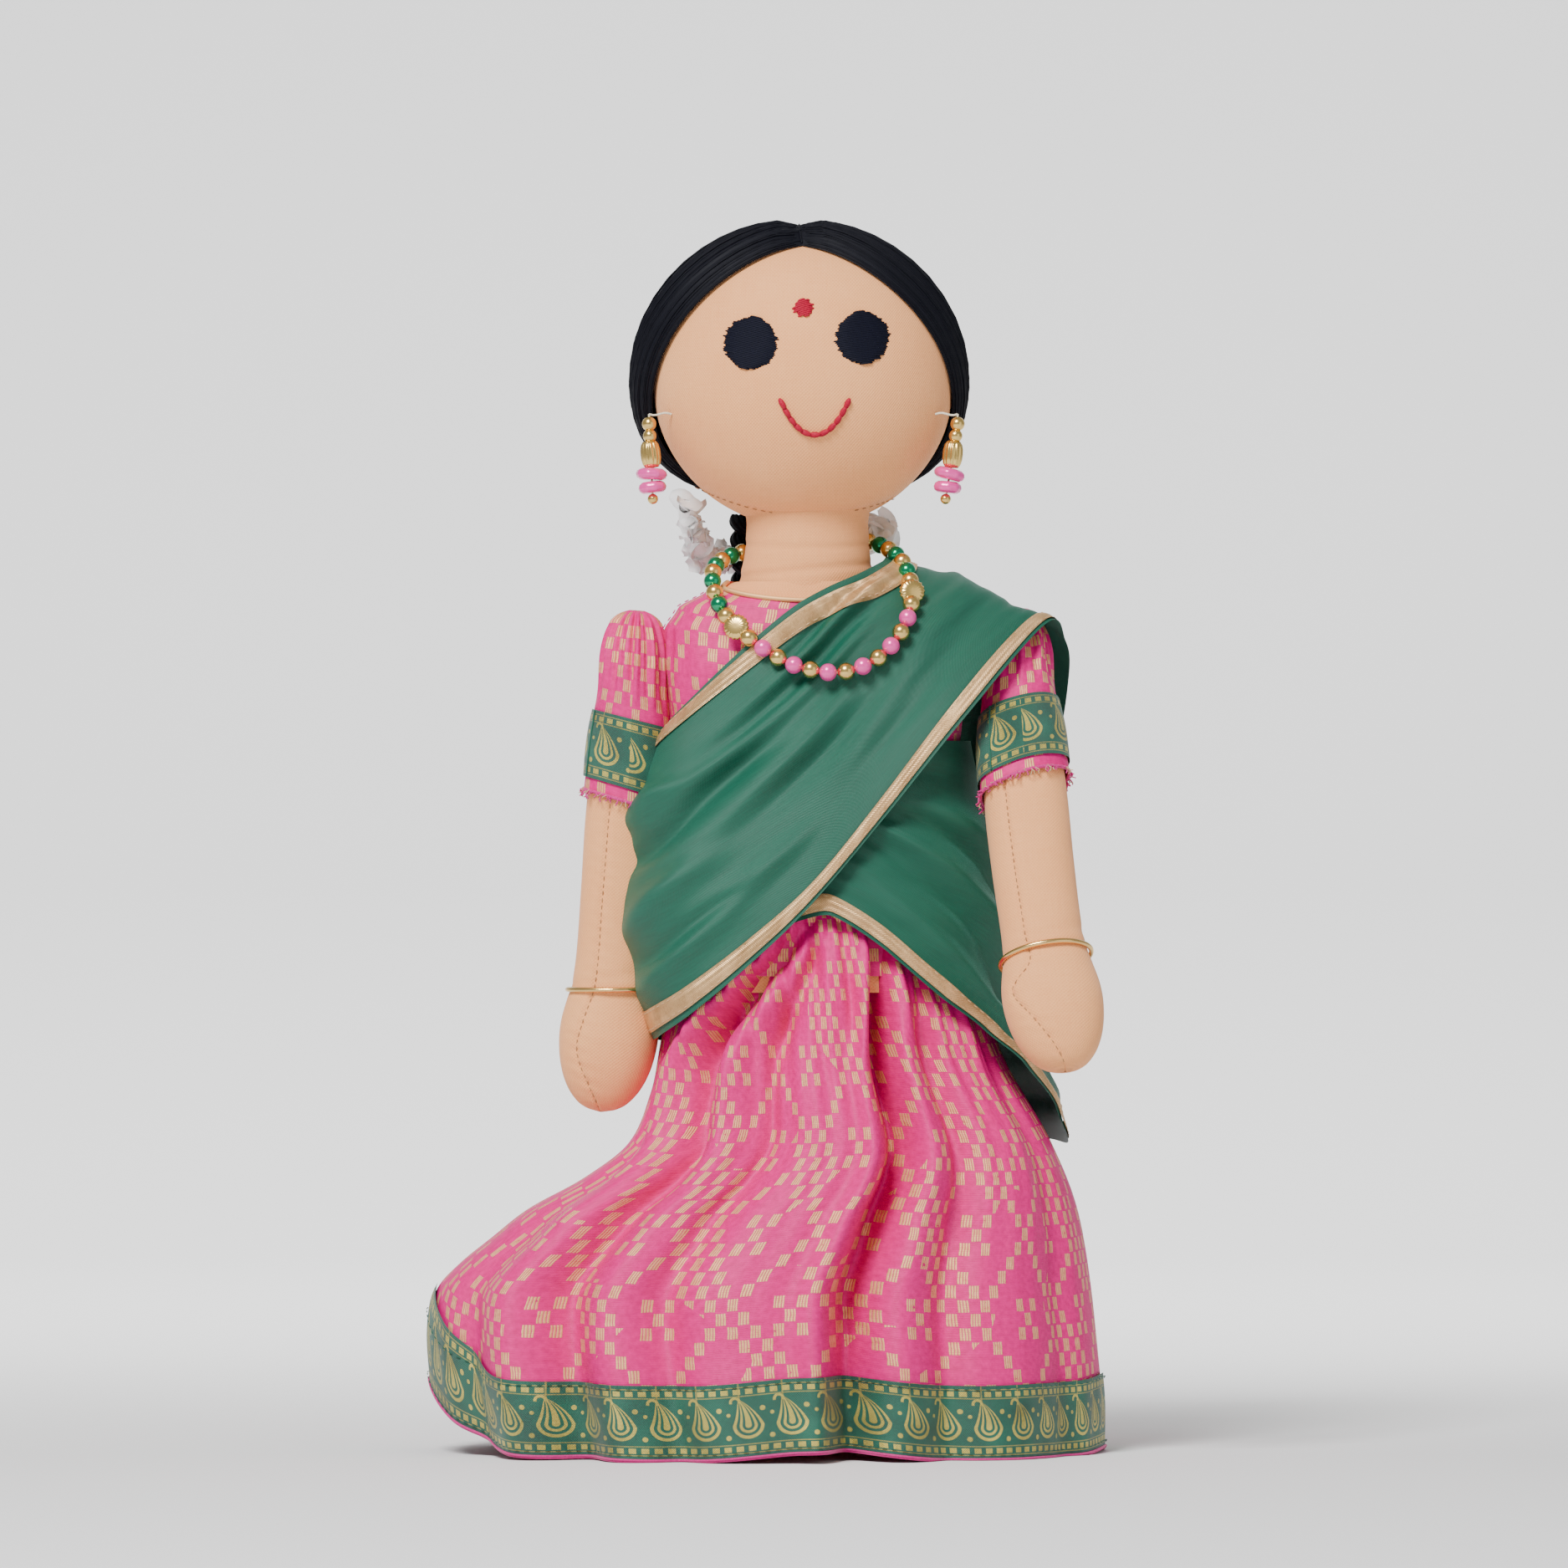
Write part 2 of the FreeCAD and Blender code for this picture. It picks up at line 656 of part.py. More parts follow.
for side in ("right", "left"):
    arm_up = shoulders[side] - tips[side]
    arm_place = FreeCAD.Placement(tips[side], FreeCAD.Rotation(vector(0, 0, 1), arm_up))
    outer = arm_outline()
    inner = arm_outline("- skin_cloth", "skin_cloth", "arm_length + shoulder_cap - skin_cloth")
    keep(turned(f"arm_{side}_stuffing", inner, arm_place))
    panels = ("outer", "inner") if side == "right" else ("inner", "outer")
    for panel, flip in zip(panels, (False, True)):
        keep(turned(f"arm_{side}_{panel}_panel", outer, arm_place, 180, flip, inner))
    arm_solid = turned(f"arm_{side}_solid", outer, arm_place)
    sleeve_solid = turned(f"sleeve_{side}_solid",
                          [("0", "sleeve_end")] + sleeve_outline("arm_radius + sleeve_cloth")
                          + [("0", "arm_length + shoulder_cap + sleeve_cloth")], arm_place)
    keep(cut(f"sleeve_{side}", sleeve_solid, arm_solid))
    border_reach = "arm_radius + sleeve_cloth + border_cloth"
    ring = [("arm_radius + sleeve_cloth", "border_start"), (border_reach, "border_start"),
            (border_reach, "border_end"), ("arm_radius + sleeve_cloth", "border_end")]
    keep(turned(f"sleeve_{side}_border", ring, arm_place))
    bangle = keep(add("Part::Torus", f"bangle_{side}"))
    bind(bangle, Radius1="bangle_radius", Radius2="bangle_wire")
    bangle.Placement = arm_place.multiply(FreeCAD.Placement(vector(0, 0, size("bangle_height")), LEVEL))


# --- legs: stuffed cotton tubes that hang inside the skirt ---

def leg_outline(growth, trim):
    return [
        ("0", trim),
        (f"ankle_radius - 4 {growth}", trim),
        (f"ankle_radius {growth}", "6"),
        (f"ankle_radius {growth}", "16"),
        (f"leg_radius {growth}", "70"),
        (f"leg_radius {growth}", "hip_level - sole_level"),
        (f"leg_radius - 4 {growth}", "hip_level - sole_level + 7"),
        ("0", f"hip_level - sole_level + leg_radius - {trim}" if trim != "0"
         else "hip_level - sole_level + leg_radius"),
    ]


for side, sign in (("right", -1), ("left", 1)):
    leg_place = FreeCAD.Placement(
        vector(size("torso_hip_axis") + sign * size("leg_spread"), 0, size("sole_level")), LEVEL)
    filling = leg_outline("- skin_cloth", "skin_cloth")
    keep(turned(f"leg_{side}_stuffing", filling, leg_place))
    keep(turned(f"leg_{side}_skin", leg_outline("", "0"), leg_place, inner=filling))


# --- check every object, then write each piece to its own file ---

doc.recompute()
for thing in doc.Objects:
    if {"Invalid", "Error"} & set(thing.State):
        raise SystemExit(f"{thing.Label} failed: {thing.State}")
labels = [thing.Label for thing in PARTS]
if len(set(labels)) != len(labels):
    raise SystemExit("two pieces share a name")
for thing in PARTS:
    if thing.Shape.isNull() or not thing.Shape.isValid() or not thing.Shape.Solids:
        raise SystemExit(f"{thing.Label} has no valid shape")

os.makedirs("parts", exist_ok=True)
for thing in PARTS:
    thing.Shape.exportStep(f"parts/{thing.Label}.step")
    print(f"{thing.Label}: {thing.Shape.Volume:.1f} mm3 in {len(thing.Shape.Solids)} solid(s)")
print(f"{len(PARTS)} pieces")
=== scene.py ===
import functools
import math
import random

import bmesh
import bpy
from mathutils import Matrix, Vector


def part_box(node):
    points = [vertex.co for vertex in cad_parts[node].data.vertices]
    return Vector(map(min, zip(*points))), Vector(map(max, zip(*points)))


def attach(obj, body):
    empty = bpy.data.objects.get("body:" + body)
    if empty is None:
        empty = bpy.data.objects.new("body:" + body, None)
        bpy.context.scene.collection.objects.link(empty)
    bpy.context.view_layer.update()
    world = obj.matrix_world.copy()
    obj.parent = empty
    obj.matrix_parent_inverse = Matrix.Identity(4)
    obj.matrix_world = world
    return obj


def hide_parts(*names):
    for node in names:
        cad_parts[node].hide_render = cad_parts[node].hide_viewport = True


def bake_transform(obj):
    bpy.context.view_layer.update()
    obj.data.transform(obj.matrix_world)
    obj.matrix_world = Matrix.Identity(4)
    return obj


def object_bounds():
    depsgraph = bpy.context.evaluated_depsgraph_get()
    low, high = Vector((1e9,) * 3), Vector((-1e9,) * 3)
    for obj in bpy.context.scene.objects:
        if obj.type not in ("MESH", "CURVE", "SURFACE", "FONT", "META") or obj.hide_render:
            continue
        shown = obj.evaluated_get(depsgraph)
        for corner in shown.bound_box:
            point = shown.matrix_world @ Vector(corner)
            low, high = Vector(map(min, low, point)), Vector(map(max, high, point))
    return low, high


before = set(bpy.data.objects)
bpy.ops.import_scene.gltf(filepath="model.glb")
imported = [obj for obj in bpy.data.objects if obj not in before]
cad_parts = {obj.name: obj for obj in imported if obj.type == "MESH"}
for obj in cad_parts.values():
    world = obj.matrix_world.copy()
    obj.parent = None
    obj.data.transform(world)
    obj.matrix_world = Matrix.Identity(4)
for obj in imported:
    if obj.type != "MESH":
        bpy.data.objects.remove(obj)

cad_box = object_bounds()
MM = 0.001

# --- Room: a pale seamless sweep of paper under three large soft lights, and the camera,
# --- which looks level at the middle of the doll through a long lens.

floor_low, floor_high = cad_box
room_middle = (Vector(floor_low) + Vector(floor_high)) / 2
sweep_rows = [(-3.4, 0.0), (1.2, 0.0), (1.9, 0.12), (2.4, 0.5), (2.6, 1.1), (2.65, 3.5)]
sweep_mesh = bpy.data.meshes.new("paper_sweep")
sweep_corners = [(x, y, z) for y, z in sweep_rows for x in (-4.0, 4.0)]
sweep_faces = [(2 * i, 2 * i + 1, 2 * i + 3, 2 * i + 2) for i in range(len(sweep_rows) - 1)]
sweep_mesh.from_pydata(sweep_corners, [], sweep_faces)
sweep_mesh.polygons.foreach_set("use_smooth", [True] * len(sweep_faces))
paper_sweep = bpy.data.objects.new("paper_sweep", sweep_mesh)
bpy.context.collection.objects.link(paper_sweep)
paper = bpy.data.materials.new("pale_paper")
paper.use_nodes = True
paper.node_tree.nodes["Principled BSDF"].inputs["Base Color"].default_value = (0.83, 0.83, 0.83, 1)
paper.node_tree.nodes["Principled BSDF"].inputs["Roughness"].default_value = 0.95
sweep_mesh.materials.append(paper)

world = bpy.data.worlds.new("studio")
world.use_nodes = True
world.node_tree.nodes["Background"].inputs["Color"].default_value = (1, 1, 1, 1)
world.node_tree.nodes["Background"].inputs["Strength"].default_value = 0.42
bpy.context.scene.world = world


def soft_light(name, place, width, power, aim=room_middle):
    """A square area light that faces the middle of the doll, or another point."""
    lamp = bpy.data.lights.new(name, "AREA")
    lamp.size = width
    lamp.energy = power
    light = bpy.data.objects.new(name, lamp)
    light.location = place
    light.rotation_euler = (aim - Vector(place)).to_track_quat("-Z", "Y").to_euler()
    bpy.context.collection.objects.link(light)


soft_light("key_light", (-0.5, -1.15, 1.4), 0.6, 46)
soft_light("fill_light", (1.2, -1.2, 0.5), 1.1, 3)
soft_light("backdrop_light", (0.0, 0.8, 1.3), 1.6, 46, Vector((0, 2.3, 0.35)))

CAMERA_DISTANCE = 3.0
VIEW_WIDTH = 0.382
view_level = 0.1625
camera_data = bpy.data.cameras.new("camera")
camera_data.sensor_width = 36
camera_data.lens = 36 * CAMERA_DISTANCE / VIEW_WIDTH
camera = bpy.data.objects.new("camera", camera_data)
camera.location = (room_middle.x + 3.8 * MM, -CAMERA_DISTANCE, view_level)
camera.rotation_euler = (math.pi / 2, 0, 0)
bpy.context.collection.objects.link(camera)
bpy.context.scene.camera = camera


# --- Head: two panels of plain cotton sewn round a fibre filling. A curved seam under the
# --- chin joins the face to the neck gusset and is sewn with small beige stitches.

def place_node(tree, kind, settings=None, inputs=None):
    """Add a node, set its properties, and set or link its inputs."""
    made = tree.nodes.new(kind)
    for key, value in (settings or {}).items():
        setattr(made, key, value)
    for key, value in (inputs or {}).items():
        if isinstance(value, bpy.types.NodeSocket):
            tree.links.new(value, made.inputs[key])
        else:
            made.inputs[key].default_value = value
    return made


def noise_texture(tree, spot, scale, detail=2.0):
    return place_node(tree, "ShaderNodeTexNoise", None,
                      {"Vector": spot, "Scale": scale, "Detail": detail})


def calc(tree, operation, *values):
    """One Math node's result."""
    made = place_node(tree, "ShaderNodeMath", {"operation": operation}, dict(enumerate(values)))
    return made.outputs[0]


def blend_colours(tree, amount, first, second):
    """A colour between two colours."""
    made = place_node(tree, "ShaderNodeMix", {"data_type": "RGBA"}, {0: amount, 6: first, 7: second})
    return made.outputs[2]


def new_group(name, inputs, outputs):
    """An empty shader node group with its sockets, its input node and its output node."""
    group = bpy.data.node_groups.new(name, "ShaderNodeTree")
    for label, kind, default in inputs:
        socket = group.interface.new_socket(label, in_out="INPUT", socket_type=kind)
        if default is not None:
            socket.default_value = default
    for label, kind in outputs:
        group.interface.new_socket(label, in_out="OUTPUT", socket_type=kind)
    return group, group.nodes.new("NodeGroupInput"), group.nodes.new("NodeGroupOutput")


def use_group(tree, group, inputs):
    return place_node(tree, "ShaderNodeGroup", {"node_tree": group}, inputs)


def new_material(name, values):
    """A material with its node tree and its Principled BSDF, whose named inputs are set."""
    material = bpy.data.materials.new(name)
    material.use_nodes = True
    shader = material.node_tree.nodes["Principled BSDF"]
    for label, value in values.items():
        shader.inputs[label].default_value = value
    return material, material.node_tree, shader


def bump(tree, shader, height, distance, strength=1.0):
    made = place_node(tree, "ShaderNodeBump", None,
                      {"Height": height, "Distance": distance, "Strength": strength})
    tree.links.new(made.outputs["Normal"], shader.inputs["Normal"])


def build_plain_weave():
    """Over-and-under threads with slubs: a height, and a light and dark value of painted shade and slub
    tone.
    """
    group, given, result = new_group(
        "plain_weave",
        [("Vector", "NodeSocketVector", None), ("Thread", "NodeSocketFloat", 0.42),
         ("Slub", "NodeSocketFloat", 0.35)],
        [("Height", "NodeSocketFloat"), ("Shade", "NodeSocketFloat")])
    op = functools.partial(calc, group)
    turn = op("DIVIDE", math.tau / 2, given.outputs["Thread"])
    parts = place_node(group, "ShaderNodeSeparateXYZ", None, {0: given.outputs["Vector"]})
    warp = op("SINE", op("MULTIPLY", parts.outputs[0], turn))
    weft = op("SINE", op("MULTIPLY", parts.outputs[1], turn))
    cross = op("MULTIPLY", warp, weft)
    slubs = []
    for squash in ((3.0, 0.16, 1.0), (0.16, 3.0, 1.0)):
        stretch = place_node(group, "ShaderNodeVectorMath", {"operation": "MULTIPLY"},
                             {0: given.outputs["Vector"], 1: squash})
        noise = noise_texture(group, stretch.outputs[0], 1.0)
        slubs.append(noise.outputs["Fac"])
    slub = op("MULTIPLY", op("ADD", *slubs), given.outputs["Slub"])
    height = op("MULTIPLY_ADD", cross, 0.5, slub)
    group.links.new(height, result.inputs["Height"])
    # Shade: lighter on the raised crossings and darker in the hollows between threads, which is painted
    # shade, plus the slubs' own uneven tone.
    group.links.new(op("MULTIPLY_ADD", cross, 0.18, slub), result.inputs["Shade"])
    return group


plain_weave = build_plain_weave()


def millimetre_map(tree):
    """The piece's own UV map, which is laid out in millimetres of cloth."""
    return place_node(tree, "ShaderNodeUVMap", {"uv_map": "cloth_mm"}).outputs["UV"]


def cotton_material(name, light, dark):
    """Matt plain-woven cotton: slubby threads, a faint uneven dye and painted shade between the threads."""
    material, tree, shader = new_material(
        name, {"Roughness": 0.88, "Sheen Weight": 0.12, "Sheen Roughness": 0.5})
    weave = use_group(tree, plain_weave, {"Vector": millimetre_map(tree)})
    spot = place_node(tree, "ShaderNodeTexCoord").outputs["Object"]
    dye = noise_texture(tree, spot, 45.0, 3.0)
    # The colour mixes the faint uneven dye with the weave's painted shade in the hollows between threads.
    mix = calc(tree, "MULTIPLY_ADD", dye.outputs["Fac"], 0.45, weave.outputs["Shade"])
    ramp = place_node(tree, "ShaderNodeMapRange", None,
                      {"Value": mix, "From Min": 0.25, "From Max": 0.95})
    colour = blend_colours(tree, ramp.outputs[0], (*dark, 1), (*light, 1))
    tree.links.new(colour, shader.inputs["Base Color"])
    bump(tree, shader, weave.outputs["Height"], 0.12 * MM, 0.7)
    return material


skin_cotton = cotton_material("skin_cotton", (1.0, 0.47, 0.19), (0.84, 0.33, 0.11))


def grid_piece(name, place, columns, rows, cloth, material, wrap=False, away_from=None):
    """A mesh from place(a, b), with a across and b along, both from 0 to 1.

    cloth(a, b) is the spot on the flat cloth in millimetres. wrap closes it across, and
    away_from is a point inside, or a function giving one, that the faces turn away from."""
    wide = columns if wrap else columns + 1
    corners = [place(i / columns, j / rows) for j in range(rows + 1) for i in range(wide)]
    faces = []
    maps = []
    for j in range(rows):
        for i in range(columns):
            after = (i + 1) % wide
            faces.append((j * wide + i, j * wide + after, (j + 1) * wide + after, (j + 1) * wide + i))
            maps += [cloth(i / columns, j / rows), cloth((i + 1) / columns, j / rows),
                     cloth((i + 1) / columns, (j + 1) / rows), cloth(i / columns, (j + 1) / rows)]
    mesh = bpy.data.meshes.new(name)
    mesh.from_pydata([tuple(c) for c in corners], [], faces)
    layer = mesh.uv_layers.new(name="cloth_mm")
    layer.data.foreach_set("uv", [n for spot in maps for n in spot])
    mesh.materials.append(material)
    work = bmesh.new()
    work.from_mesh(mesh)
    bmesh.ops.remove_doubles(work, verts=work.verts, dist=1e-7)
    bmesh.ops.dissolve_degenerate(work, edges=work.edges, dist=1e-7)
    if away_from is not None:
        inside = away_from if callable(away_from) else (lambda spot: away_from)
        facing = sum(f.normal.dot(f.calc_center_median() - inside(f.calc_center_median()))
                     * f.calc_area() for f in work.faces)
        if facing < 0:
            bmesh.ops.reverse_faces(work, faces=work.faces)
    for face in work.faces:
        face.smooth = True
    work.to_mesh(mesh)
    work.free()
    piece = bpy.data.objects.new(name, mesh)
    bpy.context.collection.objects.link(piece)
    return piece


def build_thread_tree():
    """Geometry Nodes: a round thread along every chain of edges."""
    tree = bpy.data.node_groups.new("thread_along_lines", "GeometryNodeTree")
    for label, kind in (("Lines", "NodeSocketGeometry"), ("Radius", "NodeSocketFloat"),
                        ("Sides", "NodeSocketInt"), ("Material", "NodeSocketMaterial")):
        tree.interface.new_socket(label, in_out="INPUT", socket_type=kind)
    tree.interface.new_socket("Threads", in_out="OUTPUT", socket_type="NodeSocketGeometry")
    given = tree.nodes.new("NodeGroupInput")
    result = tree.nodes.new("NodeGroupOutput")
    lines = place_node(tree, "GeometryNodeMeshToCurve", None, {0: given.outputs["Lines"]})
    ring = place_node(tree, "GeometryNodeCurvePrimitiveCircle", None,
                      {"Resolution": given.outputs["Sides"], "Radius": given.outputs["Radius"]})
    tubes = place_node(tree, "GeometryNodeCurveToMesh", None,
                       {"Curve": lines.outputs[0], "Profile Curve": ring.outputs[0], "Fill Caps": True})
    solid = place_node(tree, "GeometryNodeRealizeInstances", None, {0: tubes.outputs[0]})
    smooth = place_node(tree, "GeometryNodeSetShadeSmooth", None, {0: solid.outputs[0]})
    painted = place_node(tree, "GeometryNodeSetMaterial", None,
                         {"Geometry": smooth.outputs[0], "Material": given.outputs["Material"]})
    tree.links.new(painted.outputs[0], result.inputs[0])
    return tree


thread_tree = build_thread_tree()


def build_stitch_tree():
    """Geometry Nodes: a row of short stitches, one each pitch, along every chain of edges."""
    tree = bpy.data.node_groups.new("row_of_stitches", "GeometryNodeTree")
    for label, kind in (("Lines", "NodeSocketGeometry"), ("Pitch", "NodeSocketFloat"),
                        ("Length", "NodeSocketFloat"), ("Radius", "NodeSocketFloat"),
                        ("Slant", "NodeSocketFloat"), ("Material", "NodeSocketMaterial")):
        tree.interface.new_socket(label, in_out="INPUT", socket_type=kind)
    tree.interface.new_socket("Stitches", in_out="OUTPUT", socket_type="NodeSocketGeometry")
    given = tree.nodes.new("NodeGroupInput")
    result = tree.nodes.new("NodeGroupOutput")
    lines = place_node(tree, "GeometryNodeMeshToCurve", None, {0: given.outputs["Lines"]})
    spots = place_node(tree, "GeometryNodeCurveToPoints", {"mode": "LENGTH"},
                       {"Curve": lines.outputs[0], "Length": given.outputs["Pitch"]})
    bead = place_node(tree, "GeometryNodeMeshUVSphere", None,
                      {"Segments": 8, "Rings": 6, "Radius": 1.0})
    half = place_node(tree, "ShaderNodeMath", {"operation": "MULTIPLY"},
                      {0: given.outputs["Length"], 1: 0.5})
    form = place_node(tree, "ShaderNodeCombineXYZ", None,
                      {0: given.outputs["Radius"], 1: given.outputs["Radius"], 2: half.outputs[0]})
    lean = place_node(tree, "ShaderNodeCombineXYZ", None, {1: given.outputs["Slant"]})
    stitch = place_node(tree, "GeometryNodeTransform", None,
                        {"Geometry": bead.outputs[0], "Scale": form.outputs[0]})
    leaning = place_node(tree, "GeometryNodeTransform", None,
                         {"Geometry": stitch.outputs[0], "Rotation": lean.outputs[0]})
    copies = place_node(tree, "GeometryNodeInstanceOnPoints", None,
                        {"Points": spots.outputs["Points"], "Instance": leaning.outputs[0],
                         "Rotation": spots.outputs["Rotation"]})
    solid = place_node(tree, "GeometryNodeRealizeInstances", None, {0: copies.outputs[0]})
    smooth = place_node(tree, "GeometryNodeSetShadeSmooth", None, {0: solid.outputs[0]})
    painted = place_node(tree, "GeometryNodeSetMaterial", None,
                         {"Geometry": smooth.outputs[0], "Material": given.outputs["Material"]})
    tree.links.new(painted.outputs[0], result.inputs[0])
    return tree


stitch_tree = build_stitch_tree()


def grown(name, mesh, tree, **values):
    """A plain mesh piece: what a Geometry Nodes tree makes from a mesh and its named inputs."""
    seed = bpy.data.objects.new(name, mesh)
    bpy.context.collection.objects.link(seed)
    modifier = seed.modifiers.new("grow", "NODES")
    modifier.node_group = tree
    for socket in tree.interface.items_tree:
        if socket.name in values and socket.in_out == "INPUT":
            modifier[socket.identifier] = values[socket.name]
    ready = seed.evaluated_get(bpy.context.evaluated_depsgraph_get())
    result = bpy.data.meshes.new_from_object(ready)
    seed.modifiers.clear()
    seed.data = result
    result.name = name
    return seed


def line_mesh(name, lines):
    """Chains of edges through lists of points."""
    corners = []
    edges = []
    for line in lines:
        start = len(corners)
        corners += [tuple(p) for p in line]
        edges += [(start + i, start + i + 1) for i in range(len(line) - 1)]
    mesh = bpy.data.meshes.new(name)
    mesh.from_pydata(corners, edges, [])
    return mesh


def threads(name, lines, radius, material, sides=6):
    return grown(name, line_mesh(name, lines), thread_tree, Radius=radius, Sides=sides,
                 Material=material)


def stitches(name, lines, pitch, length, radius, material, slant=0.0):
    return grown(name, line_mesh(name, lines), stitch_tree, Pitch=pitch, Length=length,
                 Radius=radius, Slant=slant, Material=material)


def middle(node):
    low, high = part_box(node)
    return (Vector(low) + Vector(high)) / 2


body_x = middle("neck_skin").x
head_middle = middle("head_stuffing")
head_low, head_high = (Vector(corner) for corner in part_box("head_stuffing"))
head_half = (head_high - head_low) / 2 + Vector((0.8, 0.9, 0.6)) * MM
CHIN_SEAM_LEVEL = 227.3 * MM
CHIN_SEAM_RISE = 9.5


def chin_seam(x):
    """Level of the seam under the chin, higher towards the jaw on each side."""
    return CHIN_SEAM_LEVEL + CHIN_SEAM_RISE * (x - body_x) ** 2


def head_spot(a, b):
    """A point on the head: a goes round it, b from the crown to the chin."""
    turn = math.tau * a
    drop = math.pi * b
    ring = math.sin(drop)
    x = head_half.x * ring * math.sin(turn)
    y = -head_half.y * ring * math.cos(turn)
    z = head_half.z * math.cos(drop)
    spot = head_middle + Vector((x, y, z))
    if y < 0:
        gap = (spot.z - chin_seam(spot.x)) / (0.9 * MM)
        pull = 0.55 * MM * math.exp(-gap * gap)
        spot -= (spot - head_middle).normalized() * pull
    return spot


def head_cloth_map(a, b):
    spot = head_spot(min(a, 0.99999), b) - head_middle
    bend = 1.0 + 0.35 * (spot.x / head_half.x) ** 2
    return (spot.x * bend / MM, spot.z / MM)


head_cloth = grid_piece("head_cloth", head_spot, 200, 150, head_cloth_map, skin_cotton,
                        wrap=True, away_from=head_middle)
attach(head_cloth, "head")
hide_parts("head_face_panel", "head_back_panel")


def face_spot(x, z, lift=0.0):
    """The point of the face at a given x and level, raised off it by lift."""
    across = (x - head_middle.x) / head_half.x
    up = (z - head_middle.z) / head_half.z
    depth = math.sqrt(max(0.0, 1 - across * across - up * up))
    spot = Vector((x, head_middle.y - head_half.y * depth, z))
    out = Vector((across / head_half.x, -depth / head_half.y, up / head_half.z)).normalized()
    return spot + out * lift


def fibre_material(name, colour, sheen, roughness=0.6, scale=2600.0):
    """Spun thread: fine cross streaks of light and dark with a soft sheen."""
    material, tree, shader = new_material(
        name, {"Roughness": roughness, "Specular IOR Level": 0.2, "Sheen Weight": sheen})
    spot = place_node(tree, "ShaderNodeTexCoord").outputs["Object"]
    noise = noise_texture(tree, spot, scale)
    dark = tuple(c * 0.55 for c in colour)
    light = tuple(min(1.0, c * 1.35) for c in colour)
    mix = blend_colours(tree, noise.outputs["Fac"], (*dark, 1), (*light, 1))
    tree.links.new(mix, shader.inputs["Base Color"])
    bump(tree, shader, noise.outputs["Fac"], 0.06 * MM, 0.6)
    return material


seam_thread = fibre_material("seam_thread", (0.34, 0.16, 0.07), 0.1)
seam_xs = [body_x + (-27 + 2 * i) * MM for i in range(25)]
chin_line = [face_spot(x, chin_seam(x) + 0.2 * MM, -0.18 * MM) for x in seam_xs]
chin_stitches = stitches("chin_stitches", [chin_line], 2.1 * MM, 1.3 * MM, 0.13 * MM, seam_thread)
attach(chin_stitches, "head")


# --- Eyes, forehead dot and smile: satin stitch and stem stitch worked in thick thread
# --- straight on the face, with slightly ragged edges.

def satin_patch(name, x, z, half_wide, half_high, pitch, tilt, seed, material, radius, lift):
    """A round patch of parallel stitches lying side by side on the face."""
    chance = random.Random(seed)
    rows = int(2 * half_high / pitch)
    lines = []
    for row in range(rows + 1):
        v = -half_high + 2 * half_high * row / rows
        reach = half_wide * math.sqrt(max(0.03, 1 - (v / half_high) ** 2))
        ends = (-reach + chance.uniform(-0.5, 0.4) * MM, reach + chance.uniform(-0.4, 0.5) * MM)
        line = []
        for step in range(9):
            u = ends[0] + (ends[1] - ends[0]) * step / 8
            edge = 1 - abs(step - 4) / 4
            rise = lift * min(1.0, edge * 2.2) - 0.35 * MM * (edge == 0)
            px = x + u * math.cos(tilt) - v * math.sin(tilt)
            pz = z + u * math.sin(tilt) + v * math.cos(tilt)
            line.append(face_spot(px, pz, rise + chance.uniform(0, 0.08) * MM))
        lines.append(line)
    return threads(name, lines, radius, material)


navy_thread = fibre_material("navy_thread", (0.001, 0.0015, 0.010), 0.0, 0.7)
crimson_thread = fibre_material("crimson_thread", (0.40, 0.0, 0.028), 0.05, 0.55)
EYE_HALF = 6.7 * MM
for side, nudge, tilt in (("right", -0.3, -0.25), ("left", -0.2, 0.12)):
    spot = middle(f"eye_{side}")
    level = spot.z + (-1.5 if side == "right" else -0.2) * MM
    eye = satin_patch(f"eye_{side}_satin_stitch", spot.x + nudge * MM, level, EYE_HALF,
                      0.93 * EYE_HALF, 0.42 * MM, tilt, 3 if side == "right" else 8,
                      navy_thread, 0.29 * MM, 0.42 * MM)
    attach(eye, "head")
    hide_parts(f"eye_{side}")

dot = middle("bindi")
bindi = satin_patch("bindi_satin_stitch", dot.x - 0.9 * MM, dot.z - 1.0 * MM, 2.5 * MM, 2.0 * MM,
                    0.42 * MM, 0.3, 5, crimson_thread, 0.27 * MM, 0.4 * MM)
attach(bindi, "head")
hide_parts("bindi")

SMILE_HALF_WIDTH = 7.8 * MM
SMILE_DEPTH = 7.4 * MM
smile_top = 254.3 * MM
smile_x = body_x + 1.7 * MM
smile_line = []
for step in range(33):
    u = -1 + 2 * step / 32
    level = smile_top - SMILE_DEPTH * (1 - abs(u) ** 2.2)
    smile_line.append(face_spot(smile_x + SMILE_HALF_WIDTH * u, level, 0.35 * MM))
smile = stitches("smile_stem_stitch", [smile_line], 2.1 * MM, 3.2 * MM, 0.74 * MM,
                 crimson_thread, slant=0.30)
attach(smile, "head")
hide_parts("mouth_stitching")


# --- Hair: lengths of fine dark thread couched along a centre parting, laid over the ears
# --- in two swathes and gathered at the nape, where the braid begins.

def hair_material():
    """Dark thread with a narrow sheen and streaks that run along the strands."""
    material, tree, shader = new_material(
        "hair_thread", {"Roughness": 0.6, "Specular IOR Level": 0.18})
    strand = place_node(tree, "ShaderNodeVectorMath", {"operation": "MULTIPLY"},
                        {0: millimetre_map(tree), 1: (3.2, 0.12, 1.0)})
    streak = noise_texture(tree, strand.outputs[0], 1.0, 4.0)
    mix = blend_colours(tree, streak.outputs["Fac"], (0.0003, 0.0004, 0.002, 1), (0.0025, 0.003, 0.009, 1))
    tree.links.new(mix, shader.inputs["Base Color"])
    bump(tree, shader, streak.outputs["Fac"], 0.25 * MM, 0.7)
    return material


